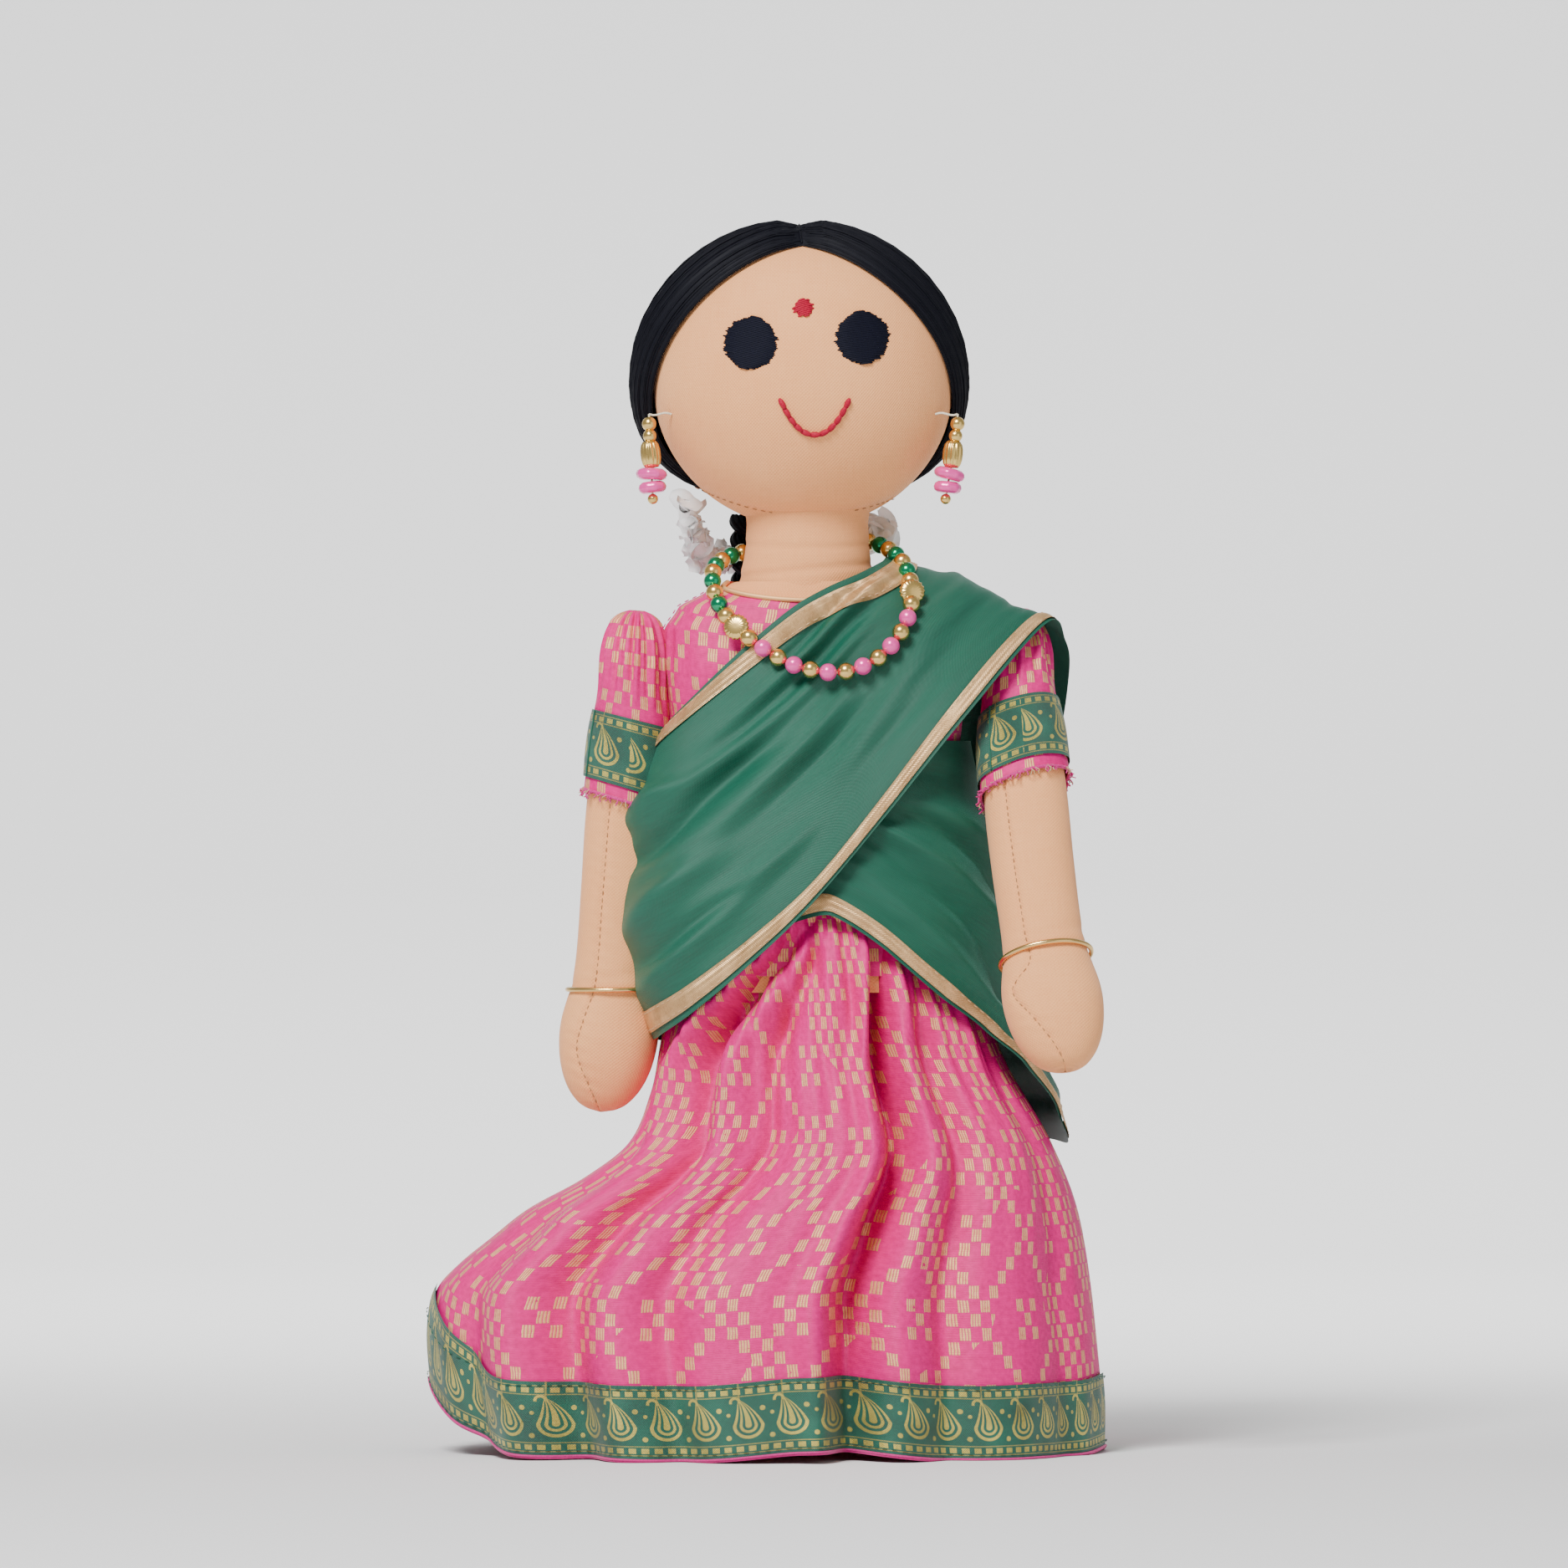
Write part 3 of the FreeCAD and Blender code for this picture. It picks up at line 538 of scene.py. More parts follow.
hair_thread = hair_material()
hair_low, hair_high = (Vector(corner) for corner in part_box("hair_right_swathe"))
hair_far = Vector(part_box("hair_left_swathe")[1])
hair_middle = Vector(((hair_low.x + hair_far.x) / 2, head_middle.y, head_middle.z))
hair_half = Vector(((hair_far.x - hair_low.x) / 2, hair_high.y - head_middle.y,
                    hair_high.z - head_middle.z))


def hair_direction(s, t):
    """Which way from the head's middle: s from the hairline back, t from parting to nape."""
    lean = math.radians(-25 + 118 * s)
    start = Vector((0, math.sin(lean), math.cos(lean)))
    side = Vector((-1.05, -0.88, 0.60)).lerp(Vector((0.01, 1.0, 0.05)), s)
    below = Vector((-1.22, 0.06, -0.66)).lerp(Vector((0.01, 1.0, -0.42)), s)
    nape = Vector((-0.14, 0.80, -0.80)).lerp(Vector((0.01, 0.90, -0.66)), s)
    u = 1 - t
    mix = start * u ** 3 + side * 3 * u * u * t + below * 3 * u * t * t + nape * t ** 3
    return mix.normalized()


def hair_spot(s, t, sign, lift=0.0):
    """A point of the hair's surface, tucked down to the head along the hairline."""
    way = hair_direction(s, t)
    way.x *= -sign
    thin = min(1.0, (s + 0.02) / 0.17)
    body = math.sin(0.5 * math.pi * thin) ** 0.75
    parting = 1 - 0.35 * math.exp(-(t / 0.035) ** 2)
    skull = head_half * 0.985
    reach = skull.lerp(hair_half, body * parting)
    centre = head_middle.lerp(hair_middle, body)
    spot = centre + Vector((way.x * reach.x, way.y * reach.y, way.z * reach.z))
    return spot + way * lift


STRAND_COLUMNS = 230


def swathe_ridge(s, seed):
    """Uneven ridges of thread across a swathe."""
    ripple = math.sin(s * 371 + seed) * 0.5 + math.sin(s * 263 + 2 * seed) * 0.35
    wave = math.sin(s * 61 + seed * 1.7) * 0.6
    return (ripple + wave) * 0.16 * MM


for side, sign in (("right", -1), ("left", 1)):
    def swathe_spot(a, b, sign=sign):
        return hair_spot(a, b, sign, swathe_ridge(a, 2.1 + sign) * min(1.0, a * 12))

    swathe = grid_piece(f"hair_{side}_swathe_threads", swathe_spot, STRAND_COLUMNS, 60,
                        lambda a, b: (a * 95, b * 90), hair_thread, away_from=head_middle)
    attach(swathe, "head")
    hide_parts(f"hair_{side}_swathe")
    chance = random.Random(40 + sign)
    strand_lines = []
    for strand in range(120):
        s = (strand + chance.uniform(-0.4, 0.4)) / 119
        s = min(1.0, max(0.004, s))
        start, end = chance.uniform(0, 0.02), chance.uniform(0.97, 1)
        drift = chance.uniform(-0.012, 0.012)
        line = []
        for step in range(25):
            t = start + (end - start) * step / 24
            across = min(1.0, max(0.0, s + drift * math.sin(math.pi * t)))
            line.append(hair_spot(across, t, sign, (0.1 + 0.12 * math.sin(9 * t + strand)) * MM))
        strand_lines.append(line)
    strands = threads(f"hair_{side}_loose_strands", strand_lines, 0.17 * MM, hair_thread, 4)
    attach(strands, "head")

parting_line = [hair_spot(0.02 + 0.9 * i / 40, 0, 1, 0.25 * MM) for i in range(41)]
parting = stitches("parting_couching", [parting_line], 1.5 * MM, 1.9 * MM, 0.28 * MM, hair_thread)
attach(parting, "head")
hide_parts("parting_stitches")


# --- Braid: three bundles of the same thread, plaited down the back and bound with crimson
# --- thread above a short loose end.

braid_low, braid_high = (Vector(corner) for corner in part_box("braid"))
braid_middle = (braid_low + braid_high) / 2
braid_length = braid_high.z - braid_low.z
braid_top = braid_high.z - 1 * MM
BRAID_TURN = 15 * MM
BUNDLE_THREADS = 9
GATHERED_THREADS = 55
LOOSE_END_THREADS = 60


def braid_slimness(along):
    """The braid's thickness beside that of its top, at one distance down it."""
    return 1 - 0.35 * along / braid_length


def braid_path(bundle, along):
    """Centre line of one of the three plaited bundles, from the nape down."""
    turn = math.tau * (along / BRAID_TURN + bundle / 3)
    slim = braid_slimness(along)
    x = 2.9 * MM * slim * math.sin(turn)
    y = 1.5 * MM * slim * math.sin(2 * turn)
    return Vector((braid_middle.x + x, braid_middle.y + y, braid_top - along))


# The swathes' ends, drawn together over the nape into the braid's top.
gathered_lines = []
chance = random.Random(31)
root = Vector((braid_middle.x, braid_middle.y, braid_high.z - 4 * MM))
for sign in (-1, 1):
    for k in range(GATHERED_THREADS):
        s = 0.05 + 0.93 * k / (GATHERED_THREADS - 1)
        start = hair_spot(s, chance.uniform(0.80, 0.90), sign, 0.35 * MM)
        edge = hair_spot(s, 0.99, sign, 0.4 * MM)
        end = root + Vector((chance.uniform(-2.6, 2.6), chance.uniform(-2.2, 2.2), 0)) * MM
        line = []
        for step in range(11):
            u = step / 10
            bend = start.lerp(edge, u).lerp(edge.lerp(end, u), u)
            line.append(bend + Vector((0, 1.6 * MM * math.sin(math.pi * u), 0)))
        gathered_lines.append(line)
gathered = threads("hair_gathered_into_braid", gathered_lines, 0.55 * MM, hair_thread, 6)
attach(gathered, "head")

braid_lines = []
plait_length = braid_length - 12 * MM
for bundle in range(3):
    for k in range(BUNDLE_THREADS):
        spin = math.tau * k / BUNDLE_THREADS
        line = []
        for step in range(121):
            along = plait_length * step / 120
            twist = spin + 3 * along / BRAID_TURN
            offset = Vector((math.cos(twist), math.sin(twist), 0)) * 1.75 * MM * braid_slimness(along)
            line.append(braid_path(bundle, along) + offset)
        braid_lines.append(line)
chance = random.Random(12)
for k in range(LOOSE_END_THREADS):
    spin, reach = chance.uniform(0, math.tau), chance.uniform(0.2, 1) * 2.4 * MM
    start = Vector((braid_middle.x, braid_middle.y, braid_top - plait_length + 2 * MM))
    spread = Vector((math.cos(spin), math.sin(spin), 0)) * reach
    braid_lines.append([start + spread * (0.4 + 0.8 * i / 5) - Vector((0, 0, 12.5 * MM * i / 5))
                        for i in range(6)])
braid = threads("braid_plaited_threads", braid_lines, 0.62 * MM, hair_thread, 6)
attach(braid, "braid")
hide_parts("braid")

tie_level = braid_top - plait_length + 1 * MM
tie_line = []
for step in range(140):
    turn = math.tau * step / 20
    tie_line.append(Vector((braid_middle.x + 2.9 * MM * math.cos(turn),
                            braid_middle.y + 2.7 * MM * math.sin(turn),
                            tie_level + 0.028 * MM * step)))
braid_tie = threads("braid_tie_winding", [tie_line], 0.36 * MM, crimson_thread)
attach(braid_tie, "braid")
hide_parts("braid_tie")


# --- Jasmine garland: a thick string of small white cloth petals pinned across the nape, so
# --- a bunch shows beside the neck on each side.

def petal_mesh():
    """One small cupped petal with a rounded tip."""
    corners, faces = [], []
    for j in range(5):
        along = j / 4
        half = 2.1 * MM * math.sin(math.pi * (0.16 + 0.72 * along)) ** 0.8
        for i in range(5):
            u = -1 + i / 2
            lift = 0.8 * MM * u * u + 1.3 * MM * along * along
            corners.append((half * u, lift, 5.0 * MM * along))
    for j in range(4):
        for i in range(4):
            faces.append((5 * j + i, 5 * j + i + 1, 5 * j + i + 6, 5 * j + i + 5))
    mesh = bpy.data.meshes.new("petal")
    mesh.from_pydata(corners, [], faces)
    return mesh


def build_petal_tree():
    """Geometry Nodes: petals scattered over a surface, standing out from it, turned at random."""
    tree = bpy.data.node_groups.new("scattered_petals", "GeometryNodeTree")
    for label, kind in (("Surface", "NodeSocketGeometry"), ("Petal", "NodeSocketObject"),
                        ("Density", "NodeSocketFloat"), ("Seed", "NodeSocketInt"),
                        ("Material", "NodeSocketMaterial")):
        tree.interface.new_socket(label, in_out="INPUT", socket_type=kind)
    tree.interface.new_socket("Petals", in_out="OUTPUT", socket_type="NodeSocketGeometry")
    given = tree.nodes.new("NodeGroupInput")
    result = tree.nodes.new("NodeGroupOutput")
    spots = place_node(tree, "GeometryNodeDistributePointsOnFaces", {"distribute_method": "POISSON"},
                       {"Mesh": given.outputs["Surface"], "Distance Min": 0.9 * MM,
                        "Density Max": given.outputs["Density"], "Seed": given.outputs["Seed"]})
    petal = place_node(tree, "GeometryNodeObjectInfo", None, {"Object": given.outputs["Petal"]})
    lean = place_node(tree, "FunctionNodeRandomValue", {"data_type": "FLOAT_VECTOR"},
                      {0: (-0.95, -0.95, -3.1), 1: (0.95, 0.95, 3.1), "Seed": given.outputs["Seed"]})
    turned = place_node(tree, "FunctionNodeRotateRotation", {"rotation_space": "LOCAL"},
                        {0: spots.outputs["Rotation"], 1: lean.outputs[0]})
    size = place_node(tree, "FunctionNodeRandomValue", {"data_type": "FLOAT"},
                      {2: 0.8, 3: 1.35, "Seed": 9})
    copies = place_node(tree, "GeometryNodeInstanceOnPoints", None,
                        {"Points": spots.outputs["Points"], "Instance": petal.outputs["Geometry"],
                         "Rotation": turned.outputs[0], "Scale": size.outputs[1]})
    solid = place_node(tree, "GeometryNodeRealizeInstances", None, {0: copies.outputs[0]})
    smooth = place_node(tree, "GeometryNodeSetShadeSmooth", None, {0: solid.outputs[0]})
    painted = place_node(tree, "GeometryNodeSetMaterial", None,
                         {"Geometry": smooth.outputs[0], "Material": given.outputs["Material"]})
    tree.links.new(painted.outputs[0], result.inputs[0])
    return tree


petal_cloth = new_material("petal_cloth", {
    "Base Color": (1.0, 1.0, 0.99, 1), "Roughness": 0.85, "Sheen Weight": 0.6,
    "Subsurface Weight": 0.4, "Subsurface Radius": (1, 1, 1), "Subsurface Scale": 2 * MM})[0]
GARLAND = [(-20.5, 8.0, 231.0), (-18.5, 13.5, 224.0), (-15.0, 21.0, 218.0), (-7.0, 31.5, 219.0),
           (6.0, 34.0, 222.0), (19.0, 27.5, 223.0), (27.0, 19.0, 223.5), (28.5, 13.0, 226.0)]


def curve_through(keys, t, closed=False):
    """A point on a smooth curve through the keys, with t from 0 to 1."""
    count = len(keys)
    spans = count if closed else count - 1
    place = min(max(t, 0.0), 1.0) * spans
    index = min(int(place), spans - 1)
    u = place - index

    def key(i):
        return Vector(keys[i % count] if closed else keys[min(max(i, 0), count - 1)])

    p0, p1, p2, p3 = key(index - 1), key(index), key(index + 1), key(index + 2)
    return 0.5 * (2 * p1 + (p2 - p0) * u + (2 * p0 - 5 * p1 + 4 * p2 - p3) * u * u
                  + (3 * p1 - p0 - 3 * p2 + p3) * u ** 3)


def garland_line(t):
    """The garland's centre line, round the nape from one side of the neck to the other."""
    return curve_through(GARLAND, t) * MM


def garland_core(a, b):
    b = 0.02 + 0.96 * b
    ahead = (garland_line(min(1, b + 0.01)) - garland_line(max(0, b - 0.01))).normalized()
    side = ahead.cross(Vector((0, 0, 1))).normalized()
    turn = math.tau * a
    bunch = (2.3 + 1.6 * math.cos(math.pi * b) ** 2) * MM * math.sin(math.pi * b) ** 0.3
    return garland_line(b) + (side * math.cos(turn) + Vector((0, 0, 1)) * math.sin(turn)) * bunch


core = grid_piece("garland_core", garland_core, 16, 60, lambda a, b: (25 * a, 85 * b), petal_cloth,
                  wrap=True)
petal_object = bpy.data.objects.new("petal", petal_mesh())
bpy.context.collection.objects.link(petal_object)
petals = grown("garland_petals", core.data.copy(), build_petal_tree(), Petal=petal_object,
               Density=230000.0, Seed=7, Material=petal_cloth)
bpy.data.objects.remove(petal_object)
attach(core, "head")
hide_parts("jasmine_garland")
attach(petals, "head")


# --- Neck: a short stuffed tube of the same cotton. It is sewn to the head under the chin
# --- and into the neckline below.

NECK_BOTTOM = 202.0
NECK_LONG = 32.0
NECK_LEVELS = [(202.0, 21.0, 15.0), (207.0, 18.4, 13.8), (212.0, 16.6, 13.2), (219.0, 15.2, 12.8),
               (226.0, 14.8, 12.8), (234.0, 16.0, 14.0)]


def between(table, level):
    """Smooth values from a table of rows that start with a level, at one level."""
    if level <= table[0][0]:
        return table[0][1:]
    for below, above in zip(table, table[1:]):
        if level <= above[0]:
            t = (level - below[0]) / (above[0] - below[0])
            t = t * t * (3 - 2 * t) * 0.5 + t * 0.5
            return tuple(p + (q - p) * t for p, q in zip(below[1:], above[1:]))
    return table[-1][1:]


def neck_spot(a, b):
    level = NECK_BOTTOM + NECK_LONG * b
    wide, deep = between(NECK_LEVELS, level)
    turn = math.tau * a
    fold = 0.35 * math.exp(-((level - 214.5 - 1.5 * math.sin(turn)) / 0.9) ** 2)
    fold += 0.25 * math.exp(-((level - 221.0 + 1.2 * math.cos(turn)) / 0.8) ** 2)
    return Vector((body_x / MM + (wide - fold) * math.sin(turn),
                   1.5 * (1 - b) - (deep - fold) * math.cos(turn), level)) * MM


neck_axis = Vector((body_x, 0, 218 * MM))
neck_cloth = grid_piece("neck_cloth", neck_spot, 96, 48, lambda a, b: (108 * a, 32 * b), skin_cotton,
                        wrap=True, away_from=neck_axis)
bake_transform(neck_cloth)
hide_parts("neck_skin", "neck_stuffing")


# --- Torso: cotton panels round stuffing, under a close blouse of brocade. The blouse has
# --- a round neck, a shoulder seam, and armhole seams where the sleeves are set in.

def build_brocade():
    """Pink cloth with gold weft floats: a lattice of dashes and stepped flowers.

    Gives a mask of gold thread, a height, and a value that varies from float to float."""
    group, given, result = new_group(
        "brocade", [("Vector", "NodeSocketVector", None), ("Step", "NodeSocketVector", (2.5, 3.7, 1)),
                    ("Worn", "NodeSocketFloat", 0.25)],
        [("Gold", "NodeSocketFloat"), ("Height", "NodeSocketFloat"), ("Vary", "NodeSocketFloat")])
    op = functools.partial(calc, group)
    wobble = noise_texture(group, given.outputs["Vector"], 0.35, 1.0)
    shift = place_node(group, "ShaderNodeVectorMath", {"operation": "SCALE"},
                       {0: wobble.outputs["Color"], "Scale": 0.5})
    spot = place_node(group, "ShaderNodeVectorMath", {"operation": "ADD"},
                      {0: given.outputs["Vector"], 1: shift.outputs[0]})
    cells = place_node(group, "ShaderNodeVectorMath", {"operation": "DIVIDE"},
                       {0: spot.outputs[0], 1: given.outputs["Step"]})
    parts = place_node(group, "ShaderNodeSeparateXYZ", None, {0: cells.outputs[0]})
    column = op("FLOOR", parts.outputs[0])
    row = op("FLOOR", parts.outputs[1])
    u = op("FRACT", parts.outputs[0])
    v = op("FRACT", parts.outputs[1])
    # Which cells carry gold: the lattice's two diagonals and a flower in each diamond.
    total = op("ADD", column, row)
    gap = op("SUBTRACT", column, row)
    even = op("LESS_THAN", op("FLOORED_MODULO", total, 2.0), 0.5)
    beside, across = (
        op("ABSOLUTE", op("SUBTRACT", op("FLOORED_MODULO", value, 12.0), 6.0))
        for value in (total, gap))
    lattice = op("GREATER_THAN", op("MAXIMUM", beside, across), 5.5)
    far = op("ADD", beside, across)
    flower = op("LESS_THAN", op("ABSOLUTE", op("SUBTRACT", far, 1.0)), 1.5)
    broad = noise_texture(group, given.outputs["Vector"], 0.035, 0.0)
    band = op("MULTIPLY", op("GREATER_THAN", beside, 3.5),
                op("GREATER_THAN", broad.outputs["Fac"], 0.47))
    wanted = op("MULTIPLY", even, op("MAXIMUM", op("MAXIMUM", lattice, flower), band))
    # The float itself: four short threads side by side inside the cell.
    inside_u = op("LESS_THAN", op("ABSOLUTE", op("SUBTRACT", u, 0.5)), 0.45)
    inside_v = op("LESS_THAN", op("ABSOLUTE", op("SUBTRACT", v, 0.5)), 0.44)
    block = op("MULTIPLY", inside_u, inside_v)
    ply = op("ABSOLUTE", op("SINE", op("MULTIPLY", u, math.pi * 4)))
    vary = noise_texture(group, given.outputs["Vector"], 0.7, 3.0)
    kept = op("GREATER_THAN", vary.outputs["Fac"], given.outputs["Worn"])
    split = op("GREATER_THAN", ply, 0.30)
    gold = op("MULTIPLY", op("MULTIPLY", block, wanted), op("MULTIPLY", kept, split))
    thread = op("MULTIPLY_ADD", ply, 0.6, 0.4)
    fine = op("SINE", op("MULTIPLY", parts.outputs[1], math.tau * 9))
    ground = op("MULTIPLY", fine, 0.08)
    height = op("MULTIPLY_ADD", gold, thread, ground)
    group.links.new(op("MULTIPLY", gold, op("MULTIPLY_ADD", ply, 0.35, 0.65)),
                    result.inputs["Gold"])
    group.links.new(height, result.inputs["Height"])
    group.links.new(vary.outputs["Fac"], result.inputs["Vary"])
    return group


brocade_weave = build_brocade()


def brocade_material(name, step=(2.5, 3.7, 1)):
    """Bright pink filament cloth woven with dull gold floats."""
    material, tree, shader = new_material(
        name, {"Roughness": 0.55, "Specular IOR Level": 0.3, "Sheen Weight": 0.0,
               "Sheen Roughness": 0.4})
    cloth = use_group(tree, brocade_weave, {"Vector": millimetre_map(tree), "Step": step, "Worn": 0.3})
    pink = blend_colours(tree, cloth.outputs["Vary"], (0.48, 0.0, 0.11, 1), (0.92, 0.0, 0.26, 1))
    gold = blend_colours(tree, cloth.outputs["Vary"], (0.62, 0.27, 0.09, 1), (1.0, 0.66, 0.30, 1))
    colour = blend_colours(tree, cloth.outputs["Gold"], pink, gold)
    tree.links.new(colour, shader.inputs["Base Color"])
    tree.links.new(calc(tree, "MULTIPLY", cloth.outputs["Gold"], 0.45), shader.inputs["Metallic"])
    bump(tree, shader, cloth.outputs["Height"], 0.22 * MM, 0.8)
    return material


brocade = brocade_material("brocade")
torso_x = 11.5
TORSO_LEVELS = [(112.0, 34.0, 22.0), (130.0, 33.0, 21.0), (146.0, 32.4, 20.5), (160.0, 33.0, 20.5),
                (176.0, 35.0, 21.0), (190.0, 36.3, 20.0), (200.0, 36.3, 18.0), (205.5, 33.0, 15.6),
                (209.5, 26.0, 13.6), (212.0, 20.0, 12.8)]


def torso_point(turn, level, grow=0.0):
    """A point of the stuffed torso, which is squarer than an ellipse across the chest."""
    wide, deep = between(TORSO_LEVELS, level)
    s, c = math.sin(turn), math.cos(turn)
    square = (abs(s) ** 2.5 + abs(c) ** 2.5) ** (-1 / 2.5)
    return Vector((torso_x + (wide + grow) * s * square, -(deep + grow) * c * square, level)) * MM


def skin_torso(a, b):
    return torso_point(math.tau * a, 112.0 + 99.7 * b, -1.0)


torso_axis = Vector((torso_x * MM, 0, 165 * MM))
torso_cloth = grid_piece("torso_cloth", skin_torso, 96, 90, lambda a, b: (180 * a, 100 * b), skin_cotton,
                         wrap=True, away_from=lambda p: Vector((torso_axis.x, 0, p.z)))
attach(torso_cloth, "torso")
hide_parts("torso_stuffing", "torso_front_panel", "torso_back_panel")


def neckline(turn):
    """Level of the blouse's neck opening, lower in front than behind."""
    return 211.8 - 4.6 * max(0.0, math.cos(turn)) ** 2 - 1.2 * max(0.0, -math.cos(turn)) ** 2


BLOUSE_BOTTOM = 116.0


def blouse_spot(a, b):
    turn = math.tau * a
    level = BLOUSE_BOTTOM + (neckline(turn) - BLOUSE_BOTTOM) * b
    ease = 0.35 * math.sin(9 * turn + 0.11 * level) * math.sin(0.05 * level + 3 * turn)
    pull = 0.5 * math.exp(-((level - 196) / 7) ** 2) * math.cos(30 * turn) * abs(math.sin(turn)) ** 4
    seam = 0.8 * math.exp(-((abs(math.sin(turn)) - 1) / 0.004) ** 2)
    return torso_point(turn, level, 0.5 + ease + pull - seam)


blouse = grid_piece("blouse_cloth", blouse_spot, 220, 130, lambda a, b: (206 * a, 95 * b), brocade,
                    wrap=True, away_from=lambda p: Vector((torso_axis.x, 0, p.z)))
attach(blouse, "torso")
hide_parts("blouse_front", "blouse_back")

pink_thread = fibre_material("pink_sewing_thread", (0.62, 0.02, 0.22), 0.2)
neck_edge = []
for step in range(121):
    turn = math.tau * step / 120
    neck_edge.append(torso_point(turn, neckline(turn) - 0.2, 0.75))
neck_roll = threads("blouse_neck_turned_edge", [neck_edge], 0.65 * MM, brocade, 8)
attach(neck_roll, "torso")
shoulder_lines = []
for side in (-1, 1):
    shoulder_lines.append([torso_point(side * math.radians(90 - 4 * i / 14),
                                       211.5 - 12.5 * i / 14, 1.0) for i in range(15)])
shoulder_seams = stitches("blouse_shoulder_stitches", shoulder_lines, 2.0 * MM, 1.3 * MM, 0.16 * MM,
                          pink_thread)
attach(shoulder_seams, "torso")


# --- Skirt: a long strip of brocade gathered into a band at the waist, falling in soft
# --- folds to a hem wider on the doll's right. A patterned border is sewn round the hem.

def hermite(keys, t):
    """A smooth value from evenly or unevenly spaced (position, value) keys."""
    if t <= keys[0][0]:
        return keys[0][1]
    for index in range(len(keys) - 1):
        if t <= keys[index + 1][0]:
            break
    else:
        return keys[-1][1]
    (x0, y0), (x1, y1) = keys[index], keys[index + 1]
    before = keys[max(0, index - 1)]
    after = keys[min(len(keys) - 1, index + 2)]
    slope0 = (y1 - before[1]) / (x1 - before[0])
    slope1 = (after[1] - y0) / (after[0] - x0)
    span = x1 - x0
    u = (t - x0) / span
    return ((2 * u ** 3 - 3 * u ** 2 + 1) * y0 + (u ** 3 - 2 * u ** 2 + u) * span * slope0
            + (3 * u ** 2 - 2 * u ** 3) * y1 + (u ** 3 - u ** 2) * span * slope1)


skirt_high = Vector(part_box("skirt")[1])
SKIRT_TOP = skirt_high.z / MM - 1.5
RIGHT_EDGE = [(0, -80.0), (10, -81.0), (20, -82.0), (32, -82.2), (40, -80.5), (46, -75.0), (52, -67.5),
              (59, -58.5), (66.5, -45.0), (75, -34.0), (87, -28.8), (98, -26.5), (111, -24.0), (135, -20.0)]
LEFT_EDGE = [(0, 81.3), (17, 80.8), (38, 78.8), (58, 75.4), (75, 69.0), (95, 57.5), (111, 51.5),
             (135, 43.0)]
DEEP = [(0, 53.5), (18, 52.0), (42, 47.5), (60, 42.5), (76, 37.5), (95, 31.5), (111, 27.0), (135, 20.5)]


def fold(turn, centre, width):
    """One rounded fold's height round the skirt at a given turn."""
    gap = (turn - centre + math.pi) % math.tau - math.pi
    return math.exp(-(gap / width) ** 2)


# Each fold: where its crest lies (level, turn), how wide it is, and how far it stands out.
SKIRT_FOLDS = [
    ([(130, -0.15), (94, -1.08), (57, -0.90), (0, -0.80)], 0.115, 5.0),
    ([(130, -0.05), (94, -0.82), (57, -0.68), (0, -0.60)], 0.085, -6.0),
    ([(130, 0.02), (94, -0.58), (57, -0.50), (0, -0.44)], 0.100, 3.6),
    ([(130, 0.08), (94, -0.34), (57, -0.32), (0, -0.27)], 0.060, -3.2),
    ([(130, 0.16), (94, -0.06), (57, -0.06), (0, -0.06)], 0.190, 3.2),
    ([(130, 0.36), (94, 0.17), (57, 0.16), (0, 0.14)], 0.055, 4.2),
    ([(130, 0.44), (94, 0.29), (57, 0.28), (0, 0.25)], 0.062, -9.0),
    ([(130, 0.60), (94, 0.44), (57, 0.43), (0, 0.40)], 0.080, 2.6),
    ([(130, 0.74), (94, 0.62), (57, 0.60), (0, 0.57)], 0.060, -3.2),
    ([(130, 0.95), (57, 0.86), (0, 0.82)], 0.150, 2.8),
    ([(130, 1.22), (57, 1.14), (0, 1.10)], 0.080, -2.4),
    ([(130, -1.2), (94, -1.38), (57, -1.16), (0, -1.06)], 0.090, -4.5),
    ([(130, -1.95), (0, -1.93)], 0.090, 2.2), ([(130, -2.3), (0, -2.2)], 0.130, -3.4),
    ([(130, -2.7), (0, -2.62)], 0.110, 3.2), ([(130, 1.75), (0, 1.72)], 0.110, 2.6),
    ([(130, 2.1), (0, 2.1)], 0.110, -3.4), ([(130, 2.45), (0, 2.5)], 0.120, 3.0),
    ([(130, 2.85), (0, 2.9)], 0.100, -3.2)]


def skirt_turn(a):
    """The angle of a place round the skirt: 0 is the front's middle."""
    return math.tau * a - math.pi


def skirt_point(a, level, grow=0.0):
    """A point of the skirt: a goes round from the back over the doll's right to its left."""
    turn = skirt_turn(a)
    right, left = hermite(RIGHT_EDGE, level), hermite(LEFT_EDGE, level)
    deep = hermite(DEEP, level)
    centre, wide = (right + left) / 2, (left - right) / 2
    s, c = math.sin(turn), math.cos(turn)
    down = max(0.0, 1 - level / SKIRT_TOP)
    open_folds = min(1.0, 0.25 + 3.2 * down) * (1 - 0.35 * max(0.0, down - 0.6))
    swell = 0.0
    for crest, wide_fold, high in SKIRT_FOLDS:
        swell += high * fold(turn, hermite(crest[::-1], level), wide_fold)
    swell *= 1 + 0.35 * max(0.0, c)
    gathers = 1.1 * math.sin(27 * turn + 1.6 * math.sin(3 * turn)) + 0.5 * math.sin(61 * turn + 1)
    ripples = swell * open_folds + gathers * (1 - down) ** 1.6
    ripples += 0.5 * math.sin(0.21 * level + 5 * turn) * math.sin(2.3 * turn + 0.06 * level)
    ripples *= 1 - 0.8 * abs(s) ** 7
    radius = ripples + grow
    out = Vector((s * deep, -c * wide, 0)).normalized()
    x, y = centre + wide * s, -deep * c
    return Vector((x + out.x * radius, y + out.y * radius, level))


